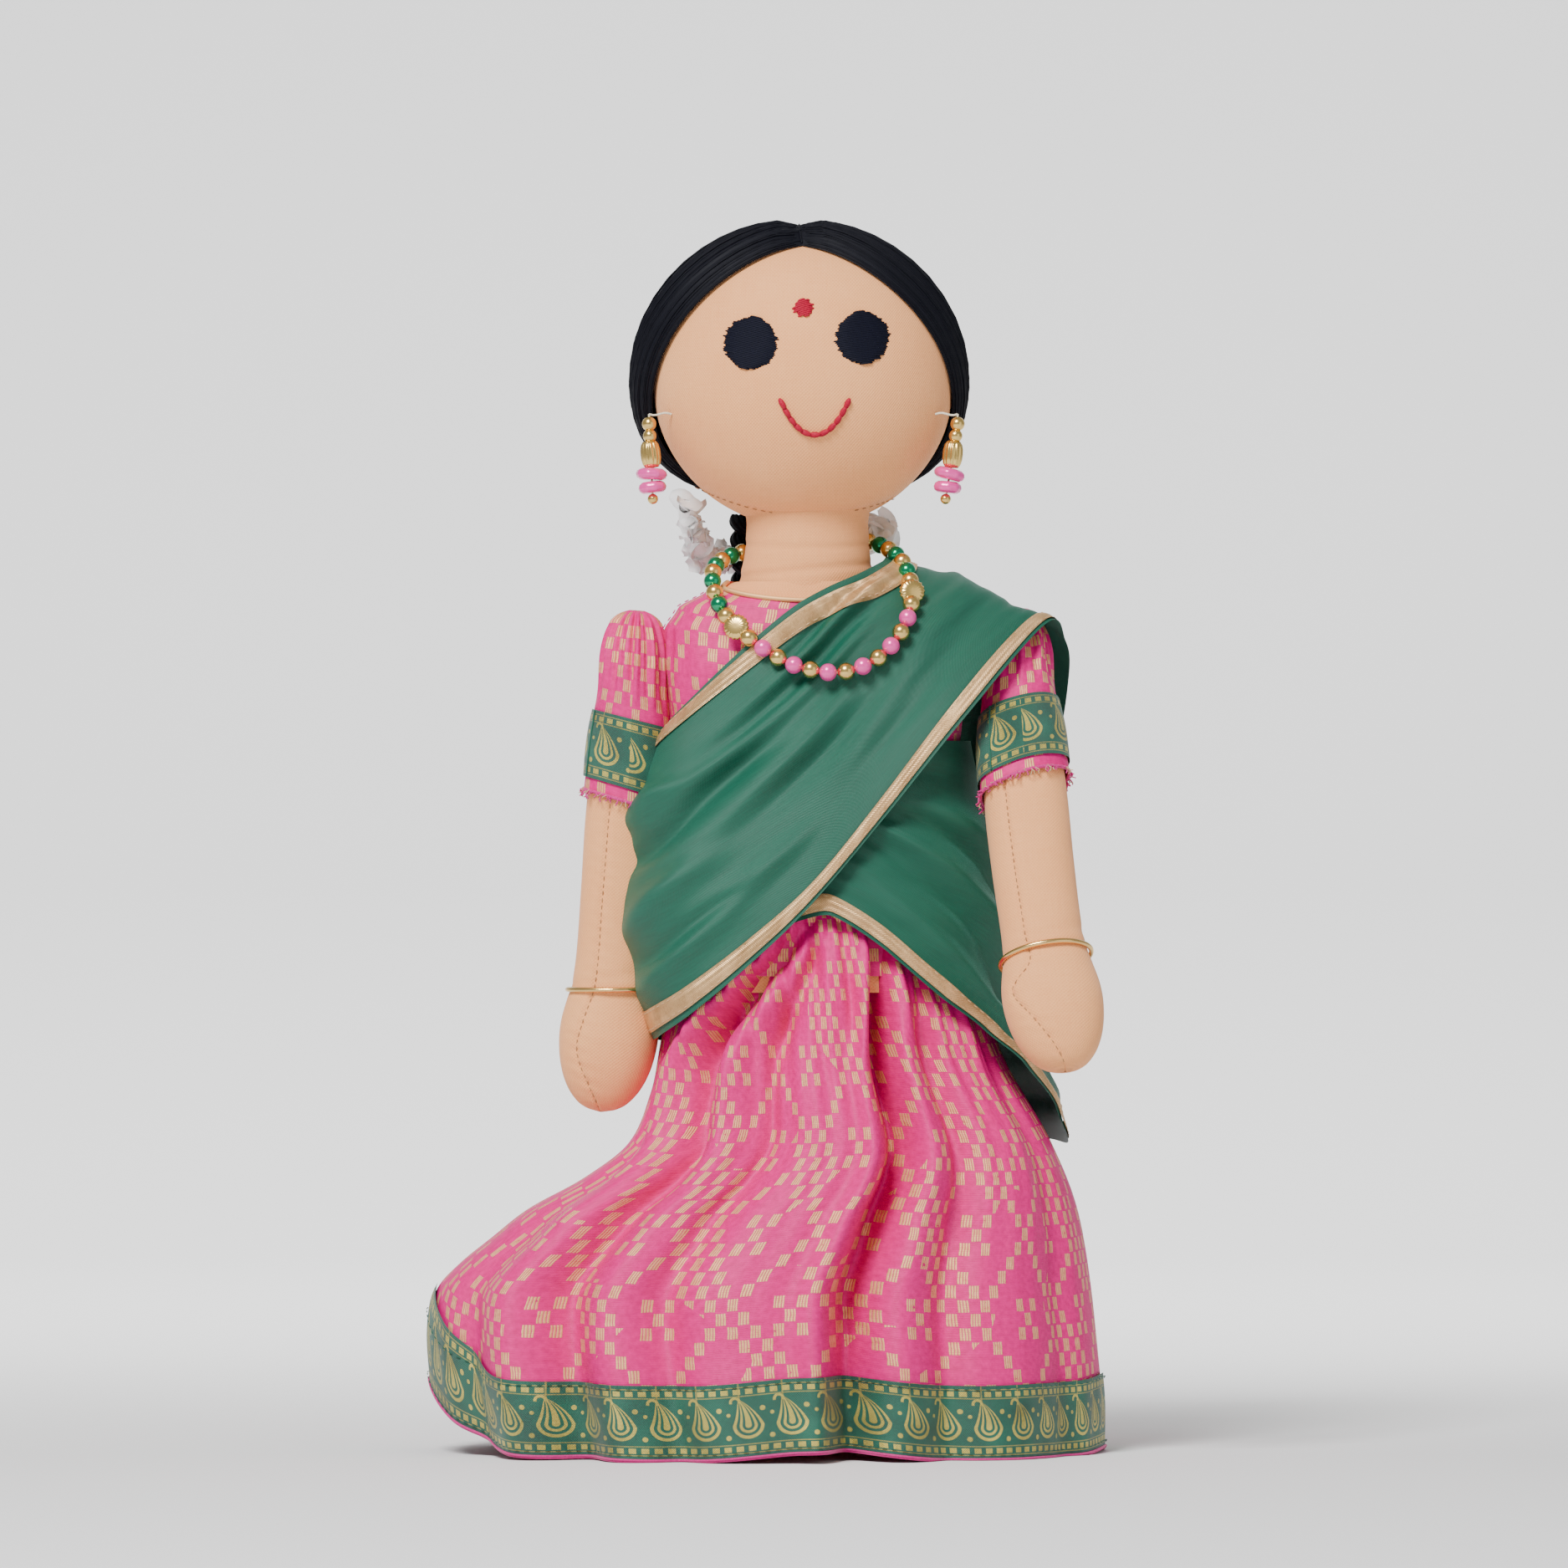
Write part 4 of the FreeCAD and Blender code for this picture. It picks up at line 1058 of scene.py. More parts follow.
def hem_level(a):
    """The hem's lower edge, which lifts a little at the right and waves along the front."""
    turn = skirt_turn(a)
    right = math.exp(-((turn + 1.62) / 0.44) ** 2)
    wave = 1.1 * math.sin(5.2 * turn + 0.6) + 0.6 * math.sin(9.1 * turn)
    return 1.9 + wave * 0.8 * (1 - right) + 17.5 * right + 1.2 * max(0, math.cos(turn)) ** 3


def skirt_spot(a, b):
    low = hem_level(a)
    level = SKIRT_TOP + (low - SKIRT_TOP) * b
    return skirt_point(a, level) * MM


skirt_cloth_length = SKIRT_TOP * 1.08
skirt = grid_piece("skirt_cloth", skirt_spot, 560, 150, lambda a, b: (470 * a, -skirt_cloth_length * b),
                   brocade, wrap=True, away_from=lambda p: Vector((5 * MM, 0, p.z)))
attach(skirt, "torso")
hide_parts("skirt")

BORDER_HIGH = 17.6


def border_spot(a, b):
    """The border lies on the skirt; its lower edge hangs just below the brocade's."""
    low = hem_level(a) - 1.4
    turn = skirt_turn(a)
    high = BORDER_HIGH + 6.5 * math.exp(-((turn + 1.45) / 0.36) ** 2)
    level = low + high * (1 - b)
    lap = 0.8 + 0.25 * math.sin(37 * turn) * math.sin(11 * turn) * (b * (1 - b) * 4)
    return skirt_point(a, max(level, 0.2), lap) * MM


def build_border():
    """A woven band: leaning leaf drops in gold on green between rows of gold dashes.

    The map's x runs along the band and y from its lower edge, both in millimetres."""
    group, given, result = new_group(
        "leaf_border", [("Vector", "NodeSocketVector", None), ("Repeat", "NodeSocketFloat", 9.4),
                        ("Width", "NodeSocketFloat", 17.6)],
        [("Gold", "NodeSocketFloat"), ("Green", "NodeSocketFloat"), ("Height", "NodeSocketFloat")])
    op = functools.partial(calc, group)
    parts = place_node(group, "ShaderNodeSeparateXYZ", None, {0: given.outputs["Vector"]})
    x, y = parts.outputs[0], parts.outputs[1]
    repeat, width = given.outputs["Repeat"], given.outputs["Width"]
    local = op("SUBTRACT", op("MULTIPLY", op("FRACT", op("DIVIDE", x, repeat)),
                                         repeat), op("MULTIPLY", repeat, 0.5))
    mid = op("SUBTRACT", y, op("MULTIPLY", width, 0.5))

    def distance(cx, cy):
        dx = op("SUBTRACT", local, cx)
        dy = op("SUBTRACT", mid, cy)
        return op("SQRT", op("ADD", op("MULTIPLY", dx, dx),
                                        op("MULTIPLY", dy, dy)))

    def ring(value, radius, half):
        return op("LESS_THAN", op("ABSOLUTE", op("SUBTRACT", value, radius)), half)

    # The leaf: round below, narrowing upwards to a tip that leans to one side.
    rise = op("MINIMUM", op("MAXIMUM", op("DIVIDE", op("ADD", mid, 1.2), 6.0), 0.0), 1.0)
    half = op("MULTIPLY_ADD", op("POWER", op("SUBTRACT", 1.0, rise), 0.8), 3.0, 0.15)
    lean = op("MULTIPLY_ADD", op("MULTIPLY", rise, rise), -1.7, 0.5)
    beside = op("DIVIDE", op("SUBTRACT", local, lean), half)
    below = op("DIVIDE", op("MINIMUM", op("ADD", mid, 1.2), 0.0), 3.0)
    leaf = op("SQRT", op("ADD", op("MULTIPLY", beside, beside),
                                    op("MULTIPLY", below, below)))
    body = ring(leaf, 0.96, 0.12)
    inner = ring(leaf, 0.52, 0.10)
    seed = op("LESS_THAN", leaf, 0.22)
    tip = ring(distance(-2.1, 4.4), 0.95, 0.30)
    tip = op("MULTIPLY", tip, op("GREATER_THAN", mid, 4.1))
    dot_one = op("LESS_THAN", distance(3.7, 2.6), 0.60)
    dot_two = op("LESS_THAN", distance(-3.9, -4.0), 0.6)
    dot_three = op("LESS_THAN", distance(-3.7, 1.4), 0.45)
    gold = body
    for shape in (inner, seed, tip, dot_one, dot_two, dot_three):
        gold = op("MAXIMUM", gold, shape)
    for level in (0.115, 0.885):
        far = op("ABSOLUTE", op("SUBTRACT", y, op("MULTIPLY", width, level)))
        dash = op("LESS_THAN", op("FRACT", op("DIVIDE", x, 2.65)), 0.6)
        gold = op("MAXIMUM", gold, op("MULTIPLY", op("LESS_THAN", far, 0.62), dash))
    for level in (0.055, 0.175, 0.825, 0.945):
        far = op("ABSOLUTE", op("SUBTRACT", y, op("MULTIPLY", width, level)))
        gold = op("MAXIMUM", gold, op("MULTIPLY", op("LESS_THAN", far, 0.13), 0.55))
    warp = op("SINE", op("MULTIPLY", x, math.tau / 0.46))
    weft = op("SINE", op("MULTIPLY", y, math.tau / 0.40))
    cross = op("MULTIPLY", warp, weft)
    # How light the band's green and gold are: a random thread tone, painted shade in the hollows between
    # threads, and broad patches lit up or dimmed as painted glints.
    vary = noise_texture(group, given.outputs["Vector"], 2.2, 3.0)
    broad = noise_texture(group, given.outputs["Vector"], 0.11, 1.0)
    painted_glint_patches = op("MULTIPLY_ADD", broad.outputs["Fac"], 2.6, -1.1)
    tone_and_painted_glints = op("ADD", op("MULTIPLY_ADD", vary.outputs["Fac"], 0.7, op("MULTIPLY", cross, 0.2)),
                 op("MULTIPLY", painted_glint_patches, 0.35))
    group.links.new(op("MULTIPLY", gold, op("MULTIPLY_ADD", cross, 0.15, 0.85)),
                    result.inputs["Gold"])
    group.links.new(tone_and_painted_glints, result.inputs["Green"])
    group.links.new(op("MULTIPLY_ADD", gold, 0.8, op("MULTIPLY", cross, 0.35)),
                    result.inputs["Height"])
    return group


leaf_border = build_border()


def border_material(name, repeat, width):
    """Green woven band with gold thread."""
    material, tree, shader = new_material(name, {"Roughness": 0.5, "Sheen Weight": 0.15})
    band = use_group(tree, leaf_border, {"Vector": millimetre_map(tree), "Repeat": repeat, "Width": width})
    # The band's Green value sets how light both the green and the gold are: random tone, painted shade and
    # painted glints.
    green = blend_colours(tree, band.outputs["Green"], (0.0, 0.028, 0.018, 1), (0.005, 0.16, 0.095, 1))
    gold = blend_colours(tree, band.outputs["Green"], (0.16, 0.13, 0.02, 1), (1.0, 0.80, 0.16, 1))
    tree.links.new(blend_colours(tree, band.outputs["Gold"], green, gold), shader.inputs["Base Color"])
    tree.links.new(calc(tree, "MULTIPLY", band.outputs["Gold"], 0.5), shader.inputs["Metallic"])
    bump(tree, shader, band.outputs["Height"], 0.2 * MM, 0.8)
    return material


hem_band = border_material("zari_border", 9.4, BORDER_HIGH)
border = grid_piece("skirt_border_band", border_spot, 560, 16,
                    lambda a, b: (470 * a, BORDER_HIGH * (1 - b)), hem_band, wrap=True,
                    away_from=lambda p: Vector((5 * MM, 0, p.z)))
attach(border, "torso")
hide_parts("skirt_hem_border")


def hem_line(rise, grow):
    line = []
    for step in range(481):
        a = step / 480
        level = max(0.35, hem_level(a) - 1.4 + rise)
        line.append(skirt_point(a, level, grow) * MM)
    return line


hem_fray = threads("hem_raw_edge", [hem_line(-0.3, 0.25), hem_line(-0.1, 0.95), hem_line(-0.5, 0.6)],
                   0.30 * MM, pink_thread)
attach(hem_fray, "torso")
green_thread = fibre_material("green_sewing_thread", (0.01, 0.10, 0.06), 0.15)
hem_stitches = stitches("border_stitches", [hem_line(BORDER_HIGH - 0.8, 1.15), hem_line(1.3, 1.15)],
                        2.6 * MM, 1.5 * MM, 0.15 * MM, green_thread)
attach(hem_stitches, "torso")

band_low, band_high = (Vector(corner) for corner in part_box("skirt_waistband"))


def waistband_spot(a, b):
    level = band_low.z / MM + (band_high.z - band_low.z) / MM * b
    turn = math.tau * a
    centre = (band_low + band_high) / 2 / MM
    half = (band_high - band_low) / 2 / MM
    tuck = 0.4 * math.sin(31 * turn) + 0.8 * math.sin(math.pi * b)
    return Vector((centre.x + (half.x - 1 + tuck) * math.sin(turn), -(half.y - 1 + tuck) * math.cos(turn),
                   level)) * MM


waistband = grid_piece("skirt_waistband_cloth", waistband_spot, 160, 10, lambda a, b: (200 * a, 9 * b),
                       brocade, wrap=True, away_from=lambda p: Vector((torso_axis.x, 0, p.z)))
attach(waistband, "torso")
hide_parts("skirt_waistband")


# --- Half-sari: one long cloth of green satin-woven cotton. It wraps the hips, crosses the
# --- chest from the right hip to the left shoulder, and falls down behind. A gold ribbon
# --- is sewn along each edge.

SASH_LOWER = [(6, 28, 96), (-15, 25.5, 98), (-27.0, 8, 100), (-26.5, -14, 101.3), (-18, -25.5, 107.5),
              (-5, -30, 118.5), (9.5, -30.5, 132.4), (26.8, -27.5, 152.8), (47.2, -24.5, 178.2),
              (67.4, -11, 201.4), (72.4, 1.5, 197.5), (73.5, 11, 189), (70, 20, 168), (60, 27.5, 136),
              (51, 31.5, 106)]
SASH_MIDDLE = [(5, 26.5, 132), (-20, 22, 134), (-34.5, 6, 139), (-33.0, -11, 141), (-22, -23, 147),
               (-4, -26.5, 158), (13, -25.0, 170), (25, -24.2, 182), (38, -20.5, 195), (51, -9.5, 206.8),
               (54.5, 1.5, 209.3), (52, 14.5, 205), (48, 24.5, 184), (43, 29, 150),
               (39.5, 33.5, 112)]
SASH_UPPER = [(6, 22, 165), (-14, 18.5, 169), (-25, 4, 173), (-24.8, -8, 177), (-17, -16.5, 185),
              (-6, -21.0, 195.4), (5.5, -20.6, 205.0), (14, -18.6, 210.0), (22, -14.6, 213.6),
              (27.5, -7, 216.6), (28.5, 3, 217.4), (27.5, 13, 211), (27, 22, 192), (27, 27.5, 160),
              (27.5, 33, 118)]
# Each crease: where it starts and ends (along, across), how wide it is, and how high.
SASH_CREASES = [((0.20, 0.30), (0.44, 0.62), 0.045, 2.3), ((0.21, 0.52), (0.36, 0.66), 0.040, -2.6),
                ((0.26, 0.44), (0.50, 0.52), 0.050, -1.3), ((0.20, 0.12), (0.40, 0.30), 0.045, 1.5),
                ((0.22, 0.20), (0.34, 0.26), 0.030, -1.5), ((0.34, 0.74), (0.56, 0.86), 0.032, -1.3),
                ((0.36, 0.81), (0.60, 0.93), 0.025, 1.1), ((0.30, 0.68), (0.52, 0.78), 0.030, 1.0),
                ((0.40, 0.86), (0.58, 0.97), 0.020, -0.9), ((0.18, 0.66), (0.26, 0.74), 0.05, 1.8),
                ((0.44, 0.36), (0.66, 0.66), 0.075, 0.9), ((0.52, 0.30), (0.64, 0.50), 0.05, -0.7),
                ((0.70, 0.35), (0.98, 0.30), 0.07, -2.0), ((0.72, 0.68), (0.98, 0.72), 0.06, 1.8),
                ((0.02, 0.35), (0.17, 0.45), 0.06, 1.6), ((0.03, 0.65), (0.17, 0.60), 0.06, -1.4)]


def crease_height(creases, a, b):
    """How far the cloth's creases raise it at one spot of its own plan."""
    height = 0.0
    for (a0, b0), (a1, b1), width, high in creases:
        run_a, run_b = a1 - a0, b1 - b0
        t = ((a - a0) * run_a + (b - b0) * run_b) / (run_a * run_a + run_b * run_b)
        if not -0.6 < t < 1.6:
            continue
        away = ((a - a0 - t * run_a) * run_b - (b - b0 - t * run_b) * run_a) / math.hypot(run_a, run_b)
        ends = 1 / (1 + math.exp(-14 * t)) / (1 + math.exp(-14 * (1 - t)))
        height += high * ends * math.exp(-(away / width) ** 2)
    return height


def sash_base(a, b):
    low, mid, top = (curve_through(keys, a) for keys in (SASH_LOWER, SASH_MIDDLE, SASH_UPPER))
    bend = mid - (low + top) / 2
    return low.lerp(top, b) + bend * (4 * b * (1 - b))


def surface_normal(place, a, b, outward, step=0.004):
    """Unit normal of a surface, on the side that outward points to."""
    along = place(min(a + step, 1), b) - place(max(a - step, 0), b)
    across = place(a, min(b + step, 1)) - place(a, max(b - step, 0))
    normal = along.cross(across).normalized()
    return normal if normal.dot(outward) > 0 else -normal


def sash_outward(spot):
    """Away from the body, and up off the shoulder."""
    rise = min(1.0, max(0.0, (spot.z - 196) / 14)) if spot.x > 20 else 0.0
    return Vector(((spot.x - 14) * (0.6 if spot.x < 20 else 0.35), spot.y * 1.2, 30 * rise))


def sash_spot(a, b, lift=0.0):
    base = sash_base(a, b)
    normal = surface_normal(sash_base, a, b, sash_outward(base))
    edge = min(1.0, b / 0.10, (1 - b) / 0.10)
    fine = 0.07 * math.sin(60 * b + 21 * a) * math.sin(9 * a + 2)
    height = 1.4 * crease_height(SASH_CREASES, a, b) * (0.2 + 0.8 * edge) + fine
    return (base + normal * (height + lift)) * MM


def build_satin_weave():
    """Smooth cloth whose long floats lie on the diagonal, with slightly uneven threads and painted shade
    between the floats.
    """
    group, given, result = new_group(
        "satin_weave", [("Vector", "NodeSocketVector", None), ("Thread", "NodeSocketFloat", 0.36)],
        [("Height", "NodeSocketFloat"), ("Shade", "NodeSocketFloat")])
    op = functools.partial(calc, group)
    parts = place_node(group, "ShaderNodeSeparateXYZ", None, {0: given.outputs["Vector"]})
    turn = op("DIVIDE", math.tau, given.outputs["Thread"])
    x = op("MULTIPLY", parts.outputs[0], turn)
    y = op("MULTIPLY", parts.outputs[1], turn)
    twill = op("SINE", op("MULTIPLY_ADD", y, 0.5, x))
    weft = op("SINE", y)
    cross = op("MULTIPLY_ADD", op("MULTIPLY", twill, weft), 0.5, 0.5)
    stretch = place_node(group, "ShaderNodeVectorMath", {"operation": "MULTIPLY"},
                         {0: given.outputs["Vector"], 1: (0.12, 3.0, 1)})
    thick = noise_texture(group, stretch.outputs[0], 1.0)
    group.links.new(op("MULTIPLY_ADD", thick.outputs["Fac"], 0.5, cross), result.inputs["Height"])
    # Shade: lighter on the floats and darker in the hollows between them, which is painted shade, plus the
    # threads' uneven thickness as tone.
    group.links.new(op("MULTIPLY_ADD", thick.outputs["Fac"], 0.5, op("MULTIPLY", cross, 0.5)),
                    result.inputs["Shade"])
    return group


satin_weave = build_satin_weave()


def sari_material():
    material, tree, shader = new_material(
        "sari_cloth", {"Roughness": 0.45, "Anisotropic": 0.4, "Sheen Weight": 0.12,
                       "Sheen Roughness": 0.35, "Sheen Tint": (0.35, 0.9, 0.7, 1)})
    weave = use_group(tree, satin_weave, {"Vector": millimetre_map(tree)})
    # The green runs from dark to light with the weave's Shade: painted shade between the floats and uneven
    # thread tone.
    colour = blend_colours(tree, weave.outputs["Shade"], (0.0, 0.036, 0.021, 1), (0.001, 0.140, 0.080, 1))
    tree.links.new(colour, shader.inputs["Base Color"])
    bump(tree, shader, weave.outputs["Height"], 0.09 * MM, 0.7)
    return material


sari_cloth = sari_material()
SASH_LONG = 290.0


def sash_wide(a):
    """How wide the draped cloth is across, in millimetres, at one place along it."""
    points = [sash_base(a, i / 6) for i in range(7)]
    return sum((q - p).length for p, q in zip(points, points[1:]))


sash = grid_piece("half_sari_sash", sash_spot, 420, 110, lambda a, b: (SASH_LONG * a, 62 * b), sari_cloth)
WRAP_CREASES = [((0.56, 0.60), (0.80, 0.30), 0.035, 2.2), ((0.55, 0.50), (0.74, 0.20), 0.030, -1.6),
                ((0.60, 0.78), (0.80, 0.60), 0.050, 2.0), ((0.58, 0.72), (0.78, 0.50), 0.028, -1.7),
                ((0.66, 0.16), (0.90, 0.10), 0.040, 1.6), ((0.55, 0.30), (0.72, 0.06), 0.030, 1.2),
                ((0.80, 0.86), (1.00, 0.60), 0.045, 1.8), ((0.02, 0.50), (0.22, 0.32), 0.045, 2.0),
                ((0.04, 0.26), (0.26, 0.14), 0.040, 0.8), ((0.20, 0.70), (0.44, 0.55), 0.045, 1.8),
                ((0.84, 0.40), (1.00, 0.22), 0.040, 0.8)]
# Level, centre across, half width, half depth.
WRAP_LEVELS = [(74, 19.0, 54.5, 43.0), (84, 20.5, 50.0, 39.5), (95, 20.2, 45.5, 36.0),
               (103, 18.4, 42.5, 32.5), (111, 16.5, 41.8, 31.0), (120, 16.0, 42.0, 29.0),
               (129, 16.0, 42.3, 27.5), (140, 15.6, 40.5, 25.6), (150, 15.2, 39.0, 24.4),
               (160, 14.0, 37.6, 23.4), (174, 12.6, 36.6, 22.6)]
WRAP_TOP = 173
WRAP_STANDS_OFF_BEHIND = 3.2


def wrap_bottom(turn):
    """Level of the wrap's lower edge round the hips, highest at the front's middle."""
    keys = [(-math.pi, 84.0), (-2.2, 90.0), (-1.5, 103.0), (-0.9, 116.0), (-0.35, 127.0),
            (-0.10, 130.6), (0.0, 130.4), (0.25, 123.8), (0.55, 113.5), (0.90, 102.5), (1.25, 90.0),
            (1.57, 76.5), (2.0, 75.5), (2.6, 79.0), (math.pi, 84.0)]
    return hermite(keys, turn)


def wrap_base(a, b):
    turn = math.tau * a - math.pi
    low = wrap_bottom(turn)
    level = low + (WRAP_TOP - low) * b
    centre, wide, deep = between(WRAP_LEVELS, level)
    s, c = math.sin(turn), math.cos(turn)
    square = (abs(s) ** 2.2 + abs(c) ** 2.2) ** (-1 / 2.2)
    deep += WRAP_STANDS_OFF_BEHIND * max(0.0, -c)
    return Vector((centre + wide * s * square, -deep * c * square, level))


def wrap_spot(a, b, lift=0.0):
    base = wrap_base(a, b)
    turn = math.tau * a - math.pi
    out = Vector((math.sin(turn), -math.cos(turn), 0.0))
    seam = min(1.0, a / 0.07, (1 - a) / 0.07)
    fine = 0.3 * math.sin(50 * b + 12 * a) * math.sin(7 * a + 1)
    height = 1.3 * seam * crease_height(WRAP_CREASES, a, b) + fine
    return (base + out * (height + lift)) * MM


wrap = grid_piece("half_sari_hip_wrap", wrap_spot, 420, 110, lambda a, b: (260 * a, 80 * b), sari_cloth,
                  wrap=True, away_from=lambda p: Vector((14 * MM, 0, p.z)))
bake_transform(sash)
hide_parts("half_sari")
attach(wrap, "torso")


# --- Gold ribbons: a stiff tape of herringbone weave sewn just inside the half-sari's upper
# --- and lower edges with one row of small stitches along each side of the tape.

def build_herringbone():
    """Fine slanted threads that change direction along the middle of the tape, with painted shade in the
    grooves between them.
    """
    group, given, result = new_group(
        "herringbone", [("Vector", "NodeSocketVector", None), ("Width", "NodeSocketFloat", 4.8)],
        [("Shade", "NodeSocketFloat"), ("Height", "NodeSocketFloat")])
    op = functools.partial(calc, group)
    parts = place_node(group, "ShaderNodeSeparateXYZ", None, {0: given.outputs["Vector"]})
    arm = op("PINGPONG", parts.outputs[1], op("DIVIDE", given.outputs["Width"], 6.0))
    slant = op("ADD", parts.outputs[0], op("MULTIPLY", arm, 1.2))
    rib = op("MULTIPLY_ADD", op("SINE", op("MULTIPLY", slant, math.tau / 0.55)), 0.5, 0.5)
    noise = noise_texture(group, given.outputs["Vector"], 1.3, 4.0)
    wide = noise_texture(group, given.outputs["Vector"], 0.16, 1.0)
    tone = op("MULTIPLY_ADD", wide.outputs["Fac"], 0.8,
                op("MULTIPLY_ADD", noise.outputs["Fac"], 0.5, -0.25))
    # Shade: lighter on the slanted ribs and darker in the grooves between them, which is painted shade, plus
    # a random uneven tone.
    group.links.new(op("MULTIPLY_ADD", rib, 0.3, op("SUBTRACT", tone, 0.1)),
                    result.inputs["Shade"])
    group.links.new(op("MULTIPLY_ADD", noise.outputs["Fac"], 0.3, rib), result.inputs["Height"])
    return group


herringbone = build_herringbone()
gold_ribbon, ribbon_tree, ribbon_shader = new_material(
    "gold_ribbon", {"Metallic": 0.55, "Roughness": 0.40, "Anisotropic": 0.4})
tape = use_group(ribbon_tree, herringbone, {"Vector": millimetre_map(ribbon_tree)})
# The gold runs from dark to light with the tape's Shade: painted shade in the grooves and random tone.
ribbon_tree.links.new(
    blend_colours(ribbon_tree, tape.outputs["Shade"], (0.27, 0.13, 0.04, 1), (0.95, 0.62, 0.30, 1)),
    ribbon_shader.inputs["Base Color"])
bump(ribbon_tree, ribbon_shader, tape.outputs["Height"], 0.10 * MM, 0.6)
beige_thread = fibre_material("beige_sewing_thread", (0.62, 0.42, 0.22), 0.2)
RIBBON_WIDTH = 4.8
RIBBON_INSET = 1.5


def sash_ribbon(upper):
    """The ribbon's own surface along one edge of the sash."""
    def spot(a, b):
        wide = sash_wide(a)
        inset = (RIBBON_INSET + RIBBON_WIDTH * b) / wide
        belly = 0.25 * math.sin(math.pi * b)
        return sash_spot(a, 1 - inset if upper else inset, 0.45 + belly)
    return spot


def wrap_ribbon(a, b):
    turn = math.tau * a - math.pi
    inset = (RIBBON_INSET - 0.3 + RIBBON_WIDTH * b) / (1.16 * (WRAP_TOP - wrap_bottom(turn)))
    return wrap_spot(a, inset, 0.45 + 0.2 * math.sin(math.pi * b))


for name, spot, node, long in (("upper", sash_ribbon(True), "half_sari_ribbon_upper", 300.0),
                               ("lower", sash_ribbon(False), "half_sari_ribbon_lower", 350.0),
                               ("hip", wrap_ribbon, "half_sari_ribbon_hip", 275.0)):
    ribbon = grid_piece(f"ribbon_{name}_tape", spot, 420, 8,
                        lambda a, b, long=long: (long * a, RIBBON_WIDTH * b), gold_ribbon)
    rows = [[spot(i / 420, b) + Vector((0, -0.05 * MM, 0)) for i in range(421)] for b in (0.12, 0.88)]
    sewn = stitches(f"ribbon_{name}_stitches", rows, 2.2 * MM, 1.3 * MM, 0.13 * MM, beige_thread)
    for piece in (ribbon, sewn):
        if name == "hip":
            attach(piece, "torso")
        else:
            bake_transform(piece)
    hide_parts(node)


# --- Necklace: 38 small beads on one thread, gold between pink in front, two fluted gold
# --- discs where the pink ones end, then gold between metallic green round the neck.

def shiny_material(name, colour, metallic, roughness, coat=0.0):
    material, tree, shader = new_material(
        name, {"Base Color": (*colour, 1), "Metallic": metallic, "Roughness": roughness,
               "Coat Weight": coat, "Coat Roughness": 0.08})
    spot = place_node(tree, "ShaderNodeTexCoord").outputs["Object"]
    noise = noise_texture(tree, spot, 900.0)
    bump(tree, shader, noise.outputs["Fac"], 0.03 * MM, 0.5)
    return material


gold_bead = shiny_material("gold_bead", (0.80, 0.55, 0.18), 1.0, 0.24)
pink_bead = shiny_material("pink_bead", (0.88, 0.06, 0.36), 0.25, 0.28, 0.6)
green_bead = shiny_material("green_bead", (0.01, 0.30, 0.13), 0.85, 0.22, 0.3)
bead_thread = fibre_material("bead_thread", (0.75, 0.70, 0.55), 0.1)
NECKLACE = [(18.8, -26.0, 189.7), (26.6, -25.4, 193.0), (32.4, -23.0, 199.8), (34.8, -17.0, 208.0),
            (32.4, -5.0, 216.8), (25.0, 8.0, 221.5), (11.5, 15.0, 222.0), (-2.0, 11.5, 220.0),
            (-10.8, 2.5, 217.4), (-13.6, -8.0, 213.0), (-11.4, -17.0, 205.0), (-5.4, -22.2, 198.4),
            (3.6, -24.0, 192.4), (11.4, -25.9, 189.9)]


def even_spots(point, count, samples=1400):
    """Evenly spaced places along a closed curve, each with its direction."""
    points = [point(i / samples) for i in range(samples + 1)]
    reach = [0.0]
    for p, q in zip(points, points[1:]):
        reach.append(reach[-1] + (q - p).length)
    spots = []
    index = 0
    for number in range(count):
        wanted = reach[-1] * number / count
        while reach[index + 1] < wanted:
            index += 1
        spots.append((points[index], (points[index + 1] - points[index]).normalized()))
    return spots, reach[-1] / count


def turned_mesh(name, profile, around, ridges=0, ridge=0.0):
    """A mesh turned about Z from (radius, height) pairs, with radial ridges if wanted."""
    rings = []
    for radius, height in profile:
        row = []
        for i in range(around):
            turn = math.tau * i / around
            r = radius * (1 + (ridge * math.cos(ridges * turn) if ridges else 0))
            row.append((r * math.cos(turn), r * math.sin(turn), height))
        rings.append(row)
    corners = [spot for row in rings for spot in row]
    faces = []
    for j in range(len(profile) - 1):
        for i in range(around):
            k = (i + 1) % around
            faces.append((j * around + i, j * around + k, (j + 1) * around + k, (j + 1) * around + i))
    faces.append(tuple(reversed(range(around))))
    faces.append(tuple(range((len(profile) - 1) * around, len(profile) * around)))
    mesh = bpy.data.meshes.new(name)
    mesh.from_pydata(corners, [], faces)
    return mesh


def put_together(name, parts, material):
    """One piece from meshes and the matrices that place them."""
    work = bmesh.new()
    for mesh, matrix in parts:
        copy = mesh.copy()
        copy.transform(matrix)
        work.from_mesh(copy)
        bpy.data.meshes.remove(copy)
    for face in work.faces:
        face.smooth = True
    joined = bpy.data.meshes.new(name)
    work.to_mesh(joined)
    work.free()
    joined.materials.append(material)
    piece = bpy.data.objects.new(name, joined)
    bpy.context.collection.objects.link(piece)
    return piece


def turned_towards(direction, spot, roll=0.0):
    turn = direction.to_track_quat("Z", "Y").to_matrix().to_4x4()
    return Matrix.Translation(spot) @ turn @ Matrix.Rotation(roll, 4, "Z")


